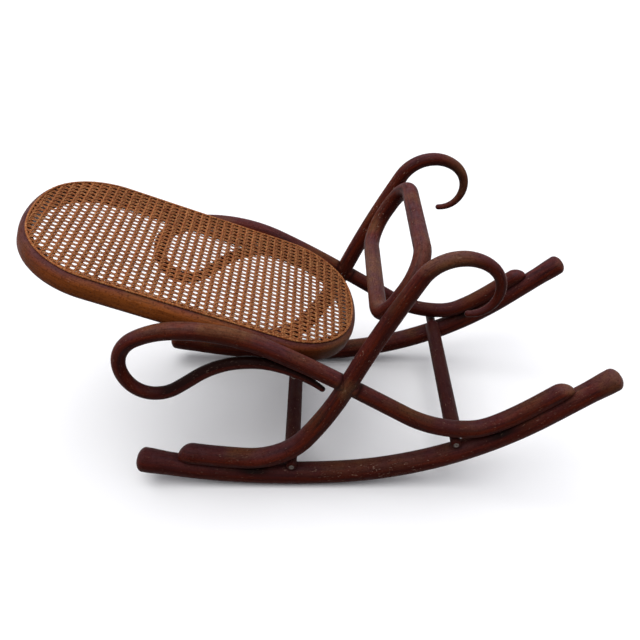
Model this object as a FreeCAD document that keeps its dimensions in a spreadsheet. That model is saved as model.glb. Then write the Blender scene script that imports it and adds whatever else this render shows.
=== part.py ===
import FreeCAD, Part
import math
import os
import Sketcher
from FreeCAD import Placement, Rotation, Vector

# Driving dimensions in millimetres and degrees. X runs from the raised end of the seat to the
# scrolls, Y across the stool and Z up from the floor. Places in a side frame are X, Z.
SIZES = {
    "frame_half_width": 175.0,
    "fit_gap": 0.2,
    "chord_error": 0.9,
    "rocker_diameter": 39.0,
    "rocker_front_club_diameter": 43.5,
    "rocker_front_neck_diameter": 40.5,
    "rocker_rear_neck_diameter": 36.0,
    "rocker_rear_club_diameter": 38.5,
    "rocker_end_round": 13.0,
    "rocker_club_length": 24.0,
    "rocker_neck_length": 30.0,
    "rocker_low_x": -50.1,
    "rocker_front_radius": 1045.0,
    "rocker_rear_radius": 620.0,
    "rocker_front_length": 271.0,
    "rocker_change_length": 83.0,
    "rocker_rear_length": 380.0,
    "rocker_tip_length": 127.0,
    "seat_cut_depth": 2.5,
    "foot_flat_depth": 2.5,
    "foot_end_round": 25.0,
    "foot_toe_share": 0.8,
    "seat_margin": 4.0,
    "flat_step": 45.0,
    "least_flat": 0.15,
    "section_spacing": 2.5,
    "upright_foot_diameter": 36.0,
    "upright_cross_diameter": 30.5,
    "upright_hoop_diameter": 28.0,
    "upright_top_diameter": 23.0,
    "upright_scroll_diameter": 15.5,
    "upright_tip_diameter": 9.5,
    "upright_foot_start": 69.0,
    "upright_foot_end": 186.0,
    "cross_x": 44.9,
    "cross_z": 222.0,
    "upright_cross_heading": 66.0,
    "upright_hoop_x": 109.9,
    "upright_hoop_z": 356.0,
    "upright_hoop_heading": 62.0,
    "scroll_top_x": 205.9,
    "scroll_top_z": 458.5,
    "scroll_side_x": 263.9,
    "scroll_side_z": 407.0,
    "scroll_under_x": 222.9,
    "scroll_under_z": 363.5,
    "scroll_tip_length": 7.0,
    "scroll_tip_radius": 70.0,
    "arm_foot_diameter": 30.0,
    "arm_cross_diameter": 27.8,
    "arm_crest_diameter": 29.0,
    "arm_loop_diameter": 22.5,
    "arm_return_diameter": 20.5,
    "arm_tail_diameter": 15.0,
    "arm_tip_diameter": 9.0,
    "arm_foot_start": 791.0,
    "arm_foot_end": 679.0,
    "arm_valley_x": 247.9,
    "arm_valley_z": 126.5,
    "arm_cross_heading": 147.0,
    "arm_crest_x": -216.1,
    "arm_crest_z": 330.0,
    "loop_end_x": -316.1,
    "loop_end_z": 262.0,
    "loop_under_x": -266.1,
    "loop_under_z": 204.5,
    "return_bend_x": -199.1,
    "return_bend_z": 238.0,
    "return_bend_heading": 37.0,
    "return_crest_x": -111.1,
    "return_crest_z": 269.0,
    "tail_contact_x": -26.1,
    "tail_length": 58.0,
    "tail_radius": 220.0,
    "lap_gap": 0.5,
    "seat_x": 5.9,
    "seat_lift": 10.0,
    "seat_tilt": 20.85,
    "ring_width": 34.0,
    "ring_depth": 38.0,
    "ring_front_length": 512.5,
    "ring_rear_length": 64.0,
    "ring_corner_radius": 131.5,
    "ring_end_radius": 270.0,
    "ring_top_round": 12.0,
    "ring_under_round": 13.0,
    "ring_inner_round": 5.0,
    "cane_margin": 8.5,
    "cane_thickness": 2.0,
    "cane_columns": 14,
    "cane_rows": 10,
    "cane_strand_share": 0.36,
    "binder_width": 4.0,
    "binder_thickness": 1.2,
    "hoop_diameter": 28.0,
    "hoop_low_x": 93.4,
    "hoop_low_z": 323.0,
    "hoop_length": 124.0,
    "hoop_heading": 59.5,
    "hoop_corner_radius": 54.0,
    "stretcher_diameter": 27.5,
    "stretcher_pin_diameter": 18.0,
    "stretcher_clearance": 1.5,
    "stretcher_reach": 14.0,
    "stretcher_pin_round": 3.0,
}


class Arc:
    """One bend of a rod: a start point and heading, a curvature and a length."""

    def __init__(self, x, z, heading, curvature, length):
        self.x = x
        self.z = z
        self.heading = heading
        self.curvature = curvature
        self.length = length

    def at(self, s):
        """Point and heading at the distance s from the start."""
        end = self.heading + self.curvature * s
        if abs(self.curvature) < 1e-9:
            return self.x + math.cos(end) * s, self.z + math.sin(end) * s, end
        x = self.x + (math.sin(end) - math.sin(self.heading)) / self.curvature
        z = self.z - (math.cos(end) - math.cos(self.heading)) / self.curvature
        return x, z, end


class Path:
    """A chain of tangent bends in one plane."""

    def __init__(self, arcs=()):
        self.arcs = list(arcs)

    @property
    def length(self):
        return sum(arc.length for arc in self.arcs)

    def at(self, s):
        for arc in self.arcs:
            if s <= arc.length:
                return arc.at(s)
            s -= arc.length
        return self.arcs[-1].at(self.arcs[-1].length + s)

    def end(self):
        return self.at(self.length)

    def bend(self, radius, length):
        """Add a bend; a radius of zero is a straight run, and a negative one turns right."""
        x, z, heading = self.end()
        curvature = 1.0 / radius if radius else 0.0
        self.arcs.append(Arc(x, z, heading, curvature, length))

    def to(self, x, z, degrees):
        """Add the pair of tangent bends that ends at a point with a heading."""
        x0, z0, h0 = self.end()
        h1 = math.radians(degrees)
        t0 = (math.cos(h0), math.sin(h0))
        t1 = (math.cos(h1), math.sin(h1))
        v = (x - x0, z - z0)
        vv = v[0] ** 2 + v[1] ** 2
        vt = v[0] * (t0[0] + t1[0]) + v[1] * (t0[1] + t1[1])
        turn = 2.0 * (1.0 - t0[0] * t1[0] - t0[1] * t1[1])
        reach = vv / (2.0 * vt) if turn < 1e-6 else (math.sqrt(vt * vt + turn * vv) - vt) / turn
        middle = [(a + b + reach * (c - d)) / 2 for a, b, c, d in zip((x0, z0), (x, z), t0, t1)]
        for target in (middle, (x, z)):
            self.arc_to(*target)
        return self.length

    def arc_to(self, x, z):
        """Add the one bend that leaves along the present heading and ends at a point."""
        x0, z0, h0 = self.end()
        chord = math.hypot(x - x0, z - z0)
        swing = math.atan2(z - z0, x - x0) - h0
        swing = math.atan2(math.sin(swing), math.cos(swing))
        curvature = 2.0 * math.sin(swing) / chord
        length = chord if abs(swing) < 1e-9 else chord * swing / math.sin(swing)
        self.arcs.append(Arc(x0, z0, h0, curvature, length))

    def offset(self, start, finish, distance):
        """The parallel path on the left between two distances along this one."""
        result = Path()
        passed = 0.0
        for arc in self.arcs:
            first = max(start - passed, 0.0)
            last = min(finish - passed, arc.length)
            passed += arc.length
            if last - first > 1e-6:
                x, z, heading = arc.at(first)
                scale = 1.0 - arc.curvature * distance
                result.arcs.append(Arc(
                    x - math.sin(heading) * distance, z + math.cos(heading) * distance,
                    heading, arc.curvature / scale, (last - first) * scale))
        return result

    def reversed(self):
        back = Path()
        for arc in reversed(self.arcs):
            x, z, heading = arc.at(arc.length)
            back.arcs.append(Arc(x, z, heading + math.pi, -arc.curvature, arc.length))
        return back

    def nearest(self, x, z, start=0.0, finish=None):
        """Distance along the path of its nearest point to a place, found by halving steps."""
        finish = self.length if finish is None else finish
        count = 60
        step = (finish - start) / count
        best = start
        while step > 1e-4:
            places = [best + step * i for i in range(-count, count + 1)]
            places = [s for s in places if start <= s <= finish]
            best = min(places, key=lambda s: math.dist(self.at(s)[:2], (x, z)))
            step /= 8.0
        return best

    def curves(self, side=1):
        """Lines and arcs in sketch coordinates, or their mirror image with a side of -1."""
        shapes = []
        for arc in self.arcs:
            places = [arc.at(arc.length * share) for share in (0, 0.5, 1)]
            first, middle, last = (Vector(x, side * z, 0) for x, z, _ in places)
            if abs(arc.curvature) < 1e-7:
                shapes.append(Part.LineSegment(first, last))
            else:
                shapes.append(Part.Arc(first, middle, last))
        return shapes


def add_sheet(doc):
    """Put the driving dimensions in a spreadsheet, one aliased cell each."""
    sheet = doc.addObject("Spreadsheet::Sheet", "sizes")
    for row, (name, value) in enumerate(SIZES.items(), start=1):
        sheet.set(f"A{row}", name)
        sheet.set(f"B{row}", str(value))
        sheet.setAlias(f"B{row}", name)
    doc.recompute()
    return sheet


DOC = FreeCAD.newDocument("rocking_footstool")
SHEET = add_sheet(DOC)


def size(name):
    return float(SHEET.get(name))


def add_sketch(body, name, role, offset=Placement()):
    """An empty sketch on one of the body's own origin planes."""
    drawing = body.newObject("Sketcher::SketchObject", name)
    plane = next(item for item in body.Origin.OriginFeatures if item.Role == role)
    drawing.AttachmentSupport = (plane, [""])
    drawing.MapMode = "FlatFace"
    drawing.AttachmentOffset = offset
    return drawing


def square_to(path, s):
    """Placement of a sketch that stands square across a path."""
    x, z, heading = path.at(s)
    return Placement(Vector(x, 0, z), Rotation(Vector(0, 1, 0), 90 - math.degrees(heading)))


class Taper:
    """Diameters along a rod, each a sheet cell at a distance, with straight lines between."""

    def __init__(self, *stops):
        self.stops = sorted(stops)

    def between(self, s):
        """Names of the cells on either side of a place, and the share of the way between them."""
        for (s0, first), (s1, last) in zip(self.stops, self.stops[1:]):
            if s <= s1:
                return first, last, min(max((s - s0) / (s1 - s0), 0.0), 1.0)
        return self.stops[-1][1], self.stops[-1][1], 0.0

    def formula(self, s):
        first, last, share = self.between(s)
        return f"sizes.{first} + (sizes.{last} - sizes.{first}) * {share:.6f}"

    def diameter(self, s):
        first, last, share = self.between(s)
        return size(first) + (size(last) - size(first)) * share


def bends(path):
    """Distances along a path at which its chords stay close to its bends."""
    error = size("chord_error")
    places = []
    passed = 0.0
    for arc in path.arcs:
        step = arc.length
        if abs(arc.curvature) > 1e-6:
            radius = 1.0 / abs(arc.curvature)
            step = 2.0 * radius * math.acos(1.0 - error / radius)
        count = max(1, round(arc.length / step))
        places += [passed + arc.length * i / count for i in range(count)]
        passed += arc.length
    return places + [passed]


def stations(path, taper, start_round, end_round, extra):
    """Distances of a rod's sections, with a share of the full diameter at its rounded ends."""
    places = bends(path) + [s for s, _ in taper.stops[1:-1]]
    least = size("section_spacing")
    near = size("flat_step") / 2
    places = [s for s in places if all(abs(s - fixed) > near for fixed in extra)] + extra
    first, last = start_round + least, path.length - end_round - least
    spaced = []
    for s in sorted(s for s in places if first < s < last):
        if not spaced or s - spaced[-1][0] > least:
            spaced.append((s, 1.0))
    for share in (0.05, 0.4, 1.0):
        thinner = math.sqrt(1.0 - (1.0 - share) ** 2)
        spaced.append((start_round * share, thinner))
        spaced.append((path.length - end_round * share, thinner))
    return sorted(spaced)


def draw_section(section, diameter, formula, side, flat):
    """A round section in three parts, the one on the given side being flat where that is set."""
    radius = diameter / 2
    planed = flat is not None and flat < radius - size("least_flat")
    half = math.acos(flat / radius) if planed else math.pi / 6
    middle = 0.0 if side > 0 else math.pi
    circle = Part.Circle(Vector(), Vector(0, 0, 1), radius)
    section.addGeometry([
        Part.ArcOfCircle(circle, middle + half, middle + math.pi),
        Part.ArcOfCircle(circle, middle + math.pi, middle + 2 * math.pi - half)], False)
    if planed:
        ends = [circle.value(middle + way * half) for way in (-1, 1)]
        section.addGeometry(Part.LineSegment(*ends), False)
        section.addConstraint([
            Sketcher.Constraint("Coincident", 2, 1, 1, 2),
            Sketcher.Constraint("Coincident", 2, 2, 0, 1)])
    else:
        section.addGeometry(Part.ArcOfCircle(circle, middle - half, middle + half), False)
    for part in range(2 if planed else 3):
        section.addConstraint(Sketcher.Constraint("Coincident", part, 3, -1, 1))
        driven = section.addConstraint(Sketcher.Constraint("Diameter", part, diameter))
        section.setExpression(f"Constraints[{driven}]", formula)


def bent_rod(name, path, taper, rounds, extra, side, flat, toe=0.0):
    """A tapered rod bent along a path, planed on one side where flat gives a distance.

    Rounds are the lengths of its rounded ends, and the toe is the share by which the first of
    them keeps to the planed side.
    """
    body = DOC.addObject("PartDesign::Body", name)
    sections = []
    for s, share in stations(path, taper, *rounds, extra):
        diameter, level = taper.diameter(s) * share, flat(s)
        place = square_to(path, s)
        if s < rounds[0]:
            drop = toe * (taper.diameter(s) - diameter) / 2
            place = place * Placement(Vector(side * drop, 0, 0), Rotation())
            level = None if level is None else level - drop
        section = add_sketch(body, f"{name}_section_{len(sections)}", "XY_Plane", place)
        draw_section(section, diameter, f"({taper.formula(s)}) * {share:.6f}", side, level)
        sections.append(section)
    add_loft(body, f"{name}_bend", sections)
    return body


def add_loft(body, name, sections):
    """Join sections in order by straight lines."""
    loft = body.newObject("PartDesign::AdditiveLoft", name)
    loft.Profile = (sections[0], [""])
    loft.Sections = [(section, [""]) for section in sections[1:]]
    loft.Ruled = True
    DOC.recompute()
    return loft


def add_mirror(body, name, feature, role):
    """Complete a half piece by its image in one of the body's planes."""
    mirror = body.newObject("PartDesign::Mirrored", name)
    mirror.Originals = [feature]
    plane = next(item for item in body.Origin.OriginFeatures if item.Role == role)
    mirror.MirrorPlane = (plane, [""])
    body.Tip = mirror
    DOC.recompute()


def cut_pocket(body, name, drawing, curves, length):
    """Pocket a closed outline by half the length each way from its sketch."""
    before = body.Shape.Volume
    drawing.addGeometry(curves, False)
    pocket = body.newObject("PartDesign::Pocket", name)
    pocket.Profile = (drawing, [""])
    pocket.Length = length
    pocket.SideType = "Symmetric"
    DOC.recompute()
    if body.Shape.Volume >= before:
        raise RuntimeError(f"{name} cuts nothing")


def closed_polygon(points):
    corners = [Vector(x, y, 0) for x, y in points]
    return [Part.LineSegment(a, b) for a, b in zip(corners, corners[1:] + corners[:1])]


# Centre-lines of one side frame

ROCKER_RADIUS = size("rocker_diameter") / 2


def rocker_path():
    """The rocker from its low end up to its high end, touching the floor at its lowest place."""
    radius, length = size("rocker_front_radius"), size("rocker_front_length")
    rise = length / radius
    path = Path([Arc(
        size("rocker_low_x") - radius * math.sin(rise),
        ROCKER_RADIUS + radius * (1 - math.cos(rise)),
        -rise, 1 / radius, length + size("rocker_change_length"))])
    path.bend(size("rocker_rear_radius"), size("rocker_rear_length"))
    path.bend(0, size("rocker_tip_length"))
    return path


def rocker_taper(length):
    """A club at each end and a neck beside it, with the full diameter where the rocker bears."""
    club, neck = size("rocker_club_length"), size("rocker_neck_length")
    return Taper(
        (0.0, "rocker_front_club_diameter"), (club, "rocker_front_club_diameter"),
        (club + neck, "rocker_front_neck_diameter"),
        (size("rocker_front_length"), "rocker_diameter"),
        (length - club - neck, "rocker_rear_neck_diameter"),
        (length - club, "rocker_rear_club_diameter"), (length, "rocker_rear_club_diameter"))


ROCKER = rocker_path()
ROCKER_TAPER = rocker_taper(ROCKER.length)
SEAT_LEVEL = ROCKER_RADIUS - size("seat_cut_depth")


def foot_level(diameter):
    """Height of a foot's centre-line above the rocker's, with the foot's flat on the seat."""
    return SEAT_LEVEL + size("fit_gap") + size(diameter) / 2 - size("foot_flat_depth")


UPRIGHT = ROCKER.offset(
    size("upright_foot_start"), size("upright_foot_end"), foot_level("upright_foot_diameter"))
UPRIGHT_LIFT = UPRIGHT.length
UPRIGHT_CROSS = UPRIGHT.to(size("cross_x"), size("cross_z"), size("upright_cross_heading"))
UPRIGHT_HOOP = UPRIGHT.to(
    size("upright_hoop_x"), size("upright_hoop_z"), size("upright_hoop_heading"))
UPRIGHT_TOP = UPRIGHT.to(size("scroll_top_x"), size("scroll_top_z"), 0)
UPRIGHT_SIDE = UPRIGHT.to(size("scroll_side_x"), size("scroll_side_z"), -90)
UPRIGHT.to(size("scroll_under_x"), size("scroll_under_z"), -180)
UPRIGHT.bend(-size("scroll_tip_radius"), size("scroll_tip_length"))
UPRIGHT_TAPER = Taper(
    (0.0, "upright_foot_diameter"), (UPRIGHT_LIFT, "upright_foot_diameter"),
    (UPRIGHT_CROSS, "upright_cross_diameter"), (UPRIGHT_HOOP, "upright_hoop_diameter"),
    (UPRIGHT_TOP, "upright_top_diameter"), (UPRIGHT_SIDE, "upright_scroll_diameter"),
    (UPRIGHT.length, "upright_tip_diameter"))

ARM = ROCKER.offset(
    size("arm_foot_end"), size("arm_foot_start"), foot_level("arm_foot_diameter")).reversed()
ARM_LIFT = ARM.length
ARM.to(size("arm_valley_x"), size("arm_valley_z"), 180)
ARM_CROSS = ARM.to(size("cross_x"), size("cross_z"), size("arm_cross_heading"))
ARM_CREST = ARM.to(size("arm_crest_x"), size("arm_crest_z"), 180)
ARM_LOOP = ARM.to(size("loop_end_x"), size("loop_end_z"), -90)
ARM.to(size("loop_under_x"), size("loop_under_z"), 0)
ARM.to(size("return_bend_x"), size("return_bend_z"), size("return_bend_heading"))
ARM_RETURN = ARM.to(size("return_crest_x"), size("return_crest_z"), 0)


def add_tail(path):
    """Bring the arm's end back under its own strand, and let the tip turn away from it."""
    s = path.nearest(size("tail_contact_x"), size("cross_z"), ARM_CROSS, ARM_CREST)
    while path.at(s)[0] > size("tail_contact_x"):
        s += 1.0
    x, z, heading = path.at(s)
    drop = (size("arm_crest_diameter") + size("arm_tail_diameter")) / 2 + size("fit_gap")
    x += math.sin(heading) * -drop
    z += math.cos(heading) * drop
    contact = path.to(x, z, math.degrees(heading) + 180)
    path.bend(-size("tail_radius"), size("tail_length"))
    return contact


ARM_CONTACT = add_tail(ARM)
ARM_TAPER = Taper(
    (0.0, "arm_foot_diameter"), (ARM_LIFT, "arm_foot_diameter"),
    (ARM_CROSS, "arm_cross_diameter"), (ARM_CREST, "arm_crest_diameter"),
    (ARM_LOOP, "arm_loop_diameter"), (ARM_RETURN, "arm_return_diameter"),
    (ARM_CONTACT, "arm_tail_diameter"), (ARM.length, "arm_tip_diameter"))


def seat_run(member, taper, lift):
    """Distance past its lift-off at which a member is clear of the rocker."""
    s = lift
    while rocker_distance(member, s) < ROCKER_RADIUS + size("fit_gap") + taper.diameter(s) / 2:
        s += 1.0
    return s - lift


def rocker_distance(member, s):
    x, z, _ = member.at(s)
    return math.dist(ROCKER.at(ROCKER.nearest(x, z))[:2], (x, z))


def spread(start, finish):
    """Evenly spaced distances along a planed length, ends included."""
    count = math.ceil((finish - start) / size("flat_step"))
    return [start + (finish - start) * i / count for i in range(count + 1)]


UPRIGHT_RUN = seat_run(UPRIGHT, UPRIGHT_TAPER, UPRIGHT_LIFT)
ARM_RUN = seat_run(ARM, ARM_TAPER, ARM_LIFT)


def make_rocker(name):
    """A bowed runner with turned club ends and a planed seat under each foot."""
    margin = size("seat_margin")
    seats = (
        (size("upright_foot_start") - margin, size("upright_foot_end") + UPRIGHT_RUN),
        (size("arm_foot_end") - ARM_RUN, size("arm_foot_start") + margin))
    beside = [size("rocker_front_length")]
    for start, finish in seats:
        beside += [start - margin] + spread(start, finish) + [finish + margin]

    def flat(s):
        seated = any(start - 1e-3 < s < finish + 1e-3 for start, finish in seats)
        return SEAT_LEVEL if seated else None

    rounds = (size("rocker_end_round"), size("rocker_end_round"))
    return bent_rod(name, ROCKER, ROCKER_TAPER, rounds, beside, -1, flat)


def foot_flat(member, lift, run):
    """Distance from a member's centre-line to the seat that it is planed to fit."""
    def flat(s):
        if s > lift + run:
            return None
        return rocker_distance(member, s) - SEAT_LEVEL - size("fit_gap")
    return flat


def beside_lap(place, diameter):
    """Distances just either side of a halving, where the rod gets a section."""
    return [place + way * size(diameter) * 0.75 for way in (-1, 1)]


def cut_lap(body, name, other, place, diameter, side):
    """Halve a rod where the other one crosses it: side is the half, in Y, that is cut away."""
    radius = size(diameter) / 2 + size("lap_gap")
    drawing = add_sketch(body, f"{name}_lap", "XY_Plane", square_to(other, place))
    curves = [
        Part.Arc(Vector(radius, 0, 0), Vector(0, side * radius, 0), Vector(-radius, 0, 0)),
        Part.LineSegment(Vector(-radius, 0, 0), Vector(radius, 0, 0))]
    cut_pocket(body, f"{name}_halving", drawing, curves, radius * 5)


def make_upright(name, side):
    """A scroll-topped upright, halved on its inner side over the arm."""
    rounds = (size("foot_end_round"), size("upright_tip_diameter") / 2)
    beside = spread(rounds[0], UPRIGHT_LIFT)[1:] + spread(UPRIGHT_LIFT, UPRIGHT_LIFT + UPRIGHT_RUN)[1:]
    beside += beside_lap(UPRIGHT_CROSS, "arm_cross_diameter")
    flat = foot_flat(UPRIGHT, UPRIGHT_LIFT, UPRIGHT_RUN)
    body = bent_rod(name, UPRIGHT, UPRIGHT_TAPER, rounds, beside, 1, flat, size("foot_toe_share"))
    cut_lap(body, name, ARM, ARM_CROSS, "arm_cross_diameter", -side)
    return body


def seat_height():
    """Height of the ring's top at seat_x, with the ring lying against the arms' upper strands."""
    x, z, _ = ARM.at((ARM_CROSS + ARM_CREST) / 2)
    return z + size("seat_lift") + (x - size("seat_x")) * math.tan(math.radians(size("seat_tilt")))


def seat_point(x, z):
    """Side-frame place of a point given along and square to the tilted seat."""
    tilt = math.radians(size("seat_tilt"))
    return (size("seat_x") + x * math.cos(tilt) + z * math.sin(tilt),
            seat_height() - x * math.sin(tilt) + z * math.cos(tilt))


def make_arm(name, side):
    """A looped arm, halved on its outer side under the upright."""
    rounds = (size("foot_end_round"), size("arm_tip_diameter") / 2)
    beside = spread(rounds[0], ARM_LIFT)[1:] + spread(ARM_LIFT, ARM_LIFT + ARM_RUN)[1:]
    beside += beside_lap(ARM_CROSS, "upright_cross_diameter")
    flat = foot_flat(ARM, ARM_LIFT, ARM_RUN)
    body = bent_rod(name, ARM, ARM_TAPER, rounds, beside, -1, flat, size("foot_toe_share"))
    cut_lap(body, name, UPRIGHT, UPRIGHT_CROSS, "upright_cross_diameter", side)
    return body


def ring_half():
    """Half of the ring's outer edge, from the middle of the low end to that of the high end."""
    corner, cap = size("ring_corner_radius"), size("ring_end_radius")
    half = size("frame_half_width") - size("arm_crest_diameter") / 2 - size("fit_gap")
    swing = math.asin((half - corner) / (cap - corner))
    turn_in = cap - (cap - corner) * math.cos(swing)
    path = Path([Arc(size("ring_rear_length"), 0.0, math.pi / 2, 1 / cap, cap * swing)])
    path.bend(corner, corner * (math.pi / 2 - swing))
    path.bend(0, size("ring_rear_length") + size("ring_front_length") - 2 * turn_in)
    path.bend(corner, corner * (math.pi / 2 - swing))
    path.bend(cap, cap * swing)
    return path


RING = ring_half()


def ring_outline(inset):
    """Closed outline of the seat, parallel to the ring's outer edge."""
    half = RING.offset(0.0, RING.length, inset)
    return half.curves() + half.curves(-1)


def seat_placement(level):
    """Placement of a flat seat piece whose sketch plane lies a distance over the ring's top."""
    x, z = seat_point(0, level)
    return Placement(Vector(x, 0, z), Rotation(Vector(0, 1, 0), size("seat_tilt")))


def ring_section():
    """Section of the ring, X inward from its outer edge and Y up from its top."""
    width, depth = size("ring_width"), size("ring_depth")
    top, under, inner = size("ring_top_round"), size("ring_under_round"), size("ring_inner_round")
    corners = (
        (Vector(top, -top, 0), top, 180, 90),
        (Vector(width - inner, inner - depth, 0), inner, 0, -90),
        (Vector(under, under - depth, 0), under, -90, -180))
    rounds = []
    for centre, radius, *turns in corners:
        first, last = (math.radians(turn) for turn in turns)
        rounds.append(Part.Arc(*(
            centre + Vector(radius * math.cos(a), radius * math.sin(a), 0)
            for a in (first, (first + last) / 2, last))))
    edge = Vector(width, 0, 0)
    return [
        rounds[0], Part.LineSegment(rounds[0].EndPoint, edge),
        Part.LineSegment(edge, rounds[1].StartPoint), rounds[1],
        Part.LineSegment(rounds[1].EndPoint, rounds[2].StartPoint), rounds[2],
        Part.LineSegment(rounds[2].EndPoint, rounds[0].StartPoint)]


def make_ring(name):
    """The bent seat ring, rounded over on its outer edges and eased inside."""
    body = DOC.addObject("PartDesign::Body", name)
    sections = []
    for s in bends(RING):
        x, y, heading = RING.at(s)
        inward, along = (Vector(-math.sin(heading), math.cos(heading), 0),
                         Vector(math.cos(heading), math.sin(heading), 0))
        place = Placement(Vector(x, y, 0), Rotation(inward, Vector(0, 0, 1), along, "ZXY"))
        section = add_sketch(body, f"{name}_section_{len(sections)}", "XY_Plane", place)
        section.addGeometry(ring_section(), False)
        sections.append(section)
    half = add_loft(body, f"{name}_half", sections)
    add_mirror(body, f"{name}_whole", half, "XZ_Plane")
    body.Placement = seat_placement(0)
    return body


def make_binder(name):
    """The strip that is bound down over the cane's edge."""
    body = DOC.addObject("PartDesign::Body", name)
    drawing = add_sketch(body, f"{name}_plan", "XY_Plane")
    margin = size("cane_margin")
    drawing.addGeometry(ring_outline(margin) + ring_outline(margin + size("binder_width")), False)
    pad = body.newObject("PartDesign::Pad", f"{name}_pad")
    pad.Profile = (drawing, [""])
    pad.setExpression("Length", "sizes.binder_thickness")
    body.Placement = seat_placement(size("cane_thickness"))
    return body


def outline_face(inset):
    edges = [curve.toShape() for curve in ring_outline(inset)]
    return Part.Face(Part.Wire(Part.sortEdges(edges)[0]))


def make_cane(name):
    """The cane panel: one flat face with a gap between each pair of strands both ways."""
    plan = outline_face(size("cane_margin"))
    room = outline_face(size("ring_width"))
    box = room.BoundBox
    columns, rows = round(size("cane_columns")), round(size("cane_rows"))
    column, row = box.XLength / columns, box.YLength / rows
    open_share = 1 - size("cane_strand_share")
    gaps = []
    for i in range(columns):
        for j in range(rows):
            x = box.Center.x + (i - (columns - 1) / 2) * column
            y = box.Center.y + (j - (rows - 1) / 2) * row
            half_x, half_y = column * open_share / 2, row * open_share / 2
            corners = [
                Vector(x + a * half_x, y + b * half_y, 0)
                for a, b in ((-1, -1), (1, -1), (1, 1), (-1, 1))]
            if all(room.isInside(corner, 0.01, True) for corner in corners):
                gaps.append(Part.makePolygon(corners + corners[:1]))
    net = Part.makeFace([plan.OuterWire] + gaps, "Part::FaceMakerBullseye")
    panel = DOC.addObject("Part::Feature", name)
    panel.Shape = net.extrude(Vector(0, 0, size("cane_thickness")))
    panel.Placement = seat_placement(0)
    print(name, "gaps", len(gaps))
    return panel


def hoop_half_width():
    """Half the span of the hoop's centre-line, with its sides against the uprights."""
    heading = math.radians(size("hoop_heading"))
    low = (size("hoop_low_x") + math.cos(heading) * size("hoop_corner_radius"),
           size("hoop_low_z") + math.sin(heading) * size("hoop_corner_radius"))
    s = UPRIGHT.nearest(*low, UPRIGHT_CROSS, UPRIGHT_TOP)
    upright = UPRIGHT_TAPER.diameter(s) / 2
    return size("frame_half_width") - upright - size("fit_gap") - size("hoop_diameter") / 2


def make_hoop(name):
    """The closed brace that stands between the uprights, bent to a rounded oblong."""
    corner = size("hoop_corner_radius")
    half = hoop_half_width() - corner
    path = Path([Arc(0.0, 0.0, math.pi / 2, 0.0, half)])
    path.bend(-corner, corner * math.pi / 2)
    path.bend(0, size("hoop_length") - 2 * corner)
    path.bend(-corner, corner * math.pi / 2)
    path.bend(0, half)
    body = DOC.addObject("PartDesign::Body", name)
    sections = []
    for s in bends(path):
        section = add_sketch(body, f"{name}_section_{len(sections)}", "XY_Plane", square_to(path, s))
        draw_section(section, size("hoop_diameter"), "sizes.hoop_diameter", 1, None)
        sections.append(section)
    bend = add_loft(body, f"{name}_half", sections)
    add_mirror(body, f"{name}_whole", bend, "XY_Plane")
    heading = math.radians(size("hoop_heading"))
    along = Vector(math.cos(heading), 0, math.sin(heading))
    across = Vector(0, 1, 0)
    body.Placement = Placement(
        Vector(size("hoop_low_x"), 0, size("hoop_low_z")),
        Rotation(along, across.cross(along), across, "XZY"))
    return body


def crook(member, taper, start, finish, low, high):
    """Centre of a stretcher whose pin sits between the rocker and a member that rises from it."""
    radius = size("stretcher_pin_diameter") / 2
    rest = ROCKER_RADIUS + radius + size("fit_gap")
    near, far = start, finish
    for _ in range(40):
        s = (near + far) / 2
        x, z, _ = ROCKER.offset(0.0, ROCKER.length, rest).at(s)
        place = member.nearest(x, z, low, high)
        room = math.dist(member.at(place)[:2], (x, z)) - taper.diameter(place) / 2 - radius
        near, far = (s, far) if room < size("fit_gap") else (near, s)
    return x, z


def make_stretcher(name, x, z):
    """A turned cross rail with a pin on each end that shows beyond the rocker."""
    body = DOC.addObject("PartDesign::Body", name)
    rail, pin = size("stretcher_diameter") / 2, size("stretcher_pin_diameter") / 2
    end = size("frame_half_width") + size("stretcher_reach")
    shoulder = size("frame_half_width") - ROCKER_RADIUS - size("stretcher_clearance")
    bevel = size("stretcher_pin_round")
    half = [(rail, shoulder - bevel), (rail - bevel, shoulder), (pin, shoulder),
            (pin, end - bevel), (pin - bevel, end)]
    points = [(r, -y) for r, y in reversed(half)] + half
    outline = [(0, -end)] + points + [(0, end)]
    drawing = add_sketch(body, f"{name}_profile", "XY_Plane")
    drawing.addGeometry(closed_polygon(outline), False)
    turned = body.newObject("PartDesign::Revolution", f"{name}_turning")
    turned.Profile = (drawing, [""])
    turned.ReferenceAxis = (drawing, ["V_Axis"])
    turned.Angle = 360
    body.Placement = Placement(Vector(x, 0, z), Rotation())
    return body


def build():
    """Make every piece of the stool in its place."""
    pieces = []
    for label, side in (("left", -1), ("right", 1)):
        frame = (
            make_rocker(f"rocker_{label}"),
            make_upright(f"scroll_upright_{label}", side),
            make_arm(f"loop_arm_{label}", side))
        for piece in frame:
            piece.Placement = Placement(Vector(0, side * size("frame_half_width"), 0), Rotation())
        pieces += frame
    pieces += [make_ring("seat_ring"), make_cane("cane_panel"), make_binder("cane_binder")]
    pieces.append(make_hoop("brace_hoop"))
    front = crook(
        UPRIGHT, UPRIGHT_TAPER, size("upright_foot_end"),
        size("rocker_front_length") + size("rocker_change_length"), UPRIGHT_LIFT / 2, UPRIGHT_CROSS)
    rear = crook(
        ARM, ARM_TAPER, size("arm_foot_end"),
        size("rocker_front_length") + size("rocker_change_length"), ARM_LIFT / 2, ARM_CROSS)
    pieces.append(make_stretcher("front_stretcher", *front))
    pieces.append(make_stretcher("rear_stretcher", *rear))
    return pieces


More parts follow.
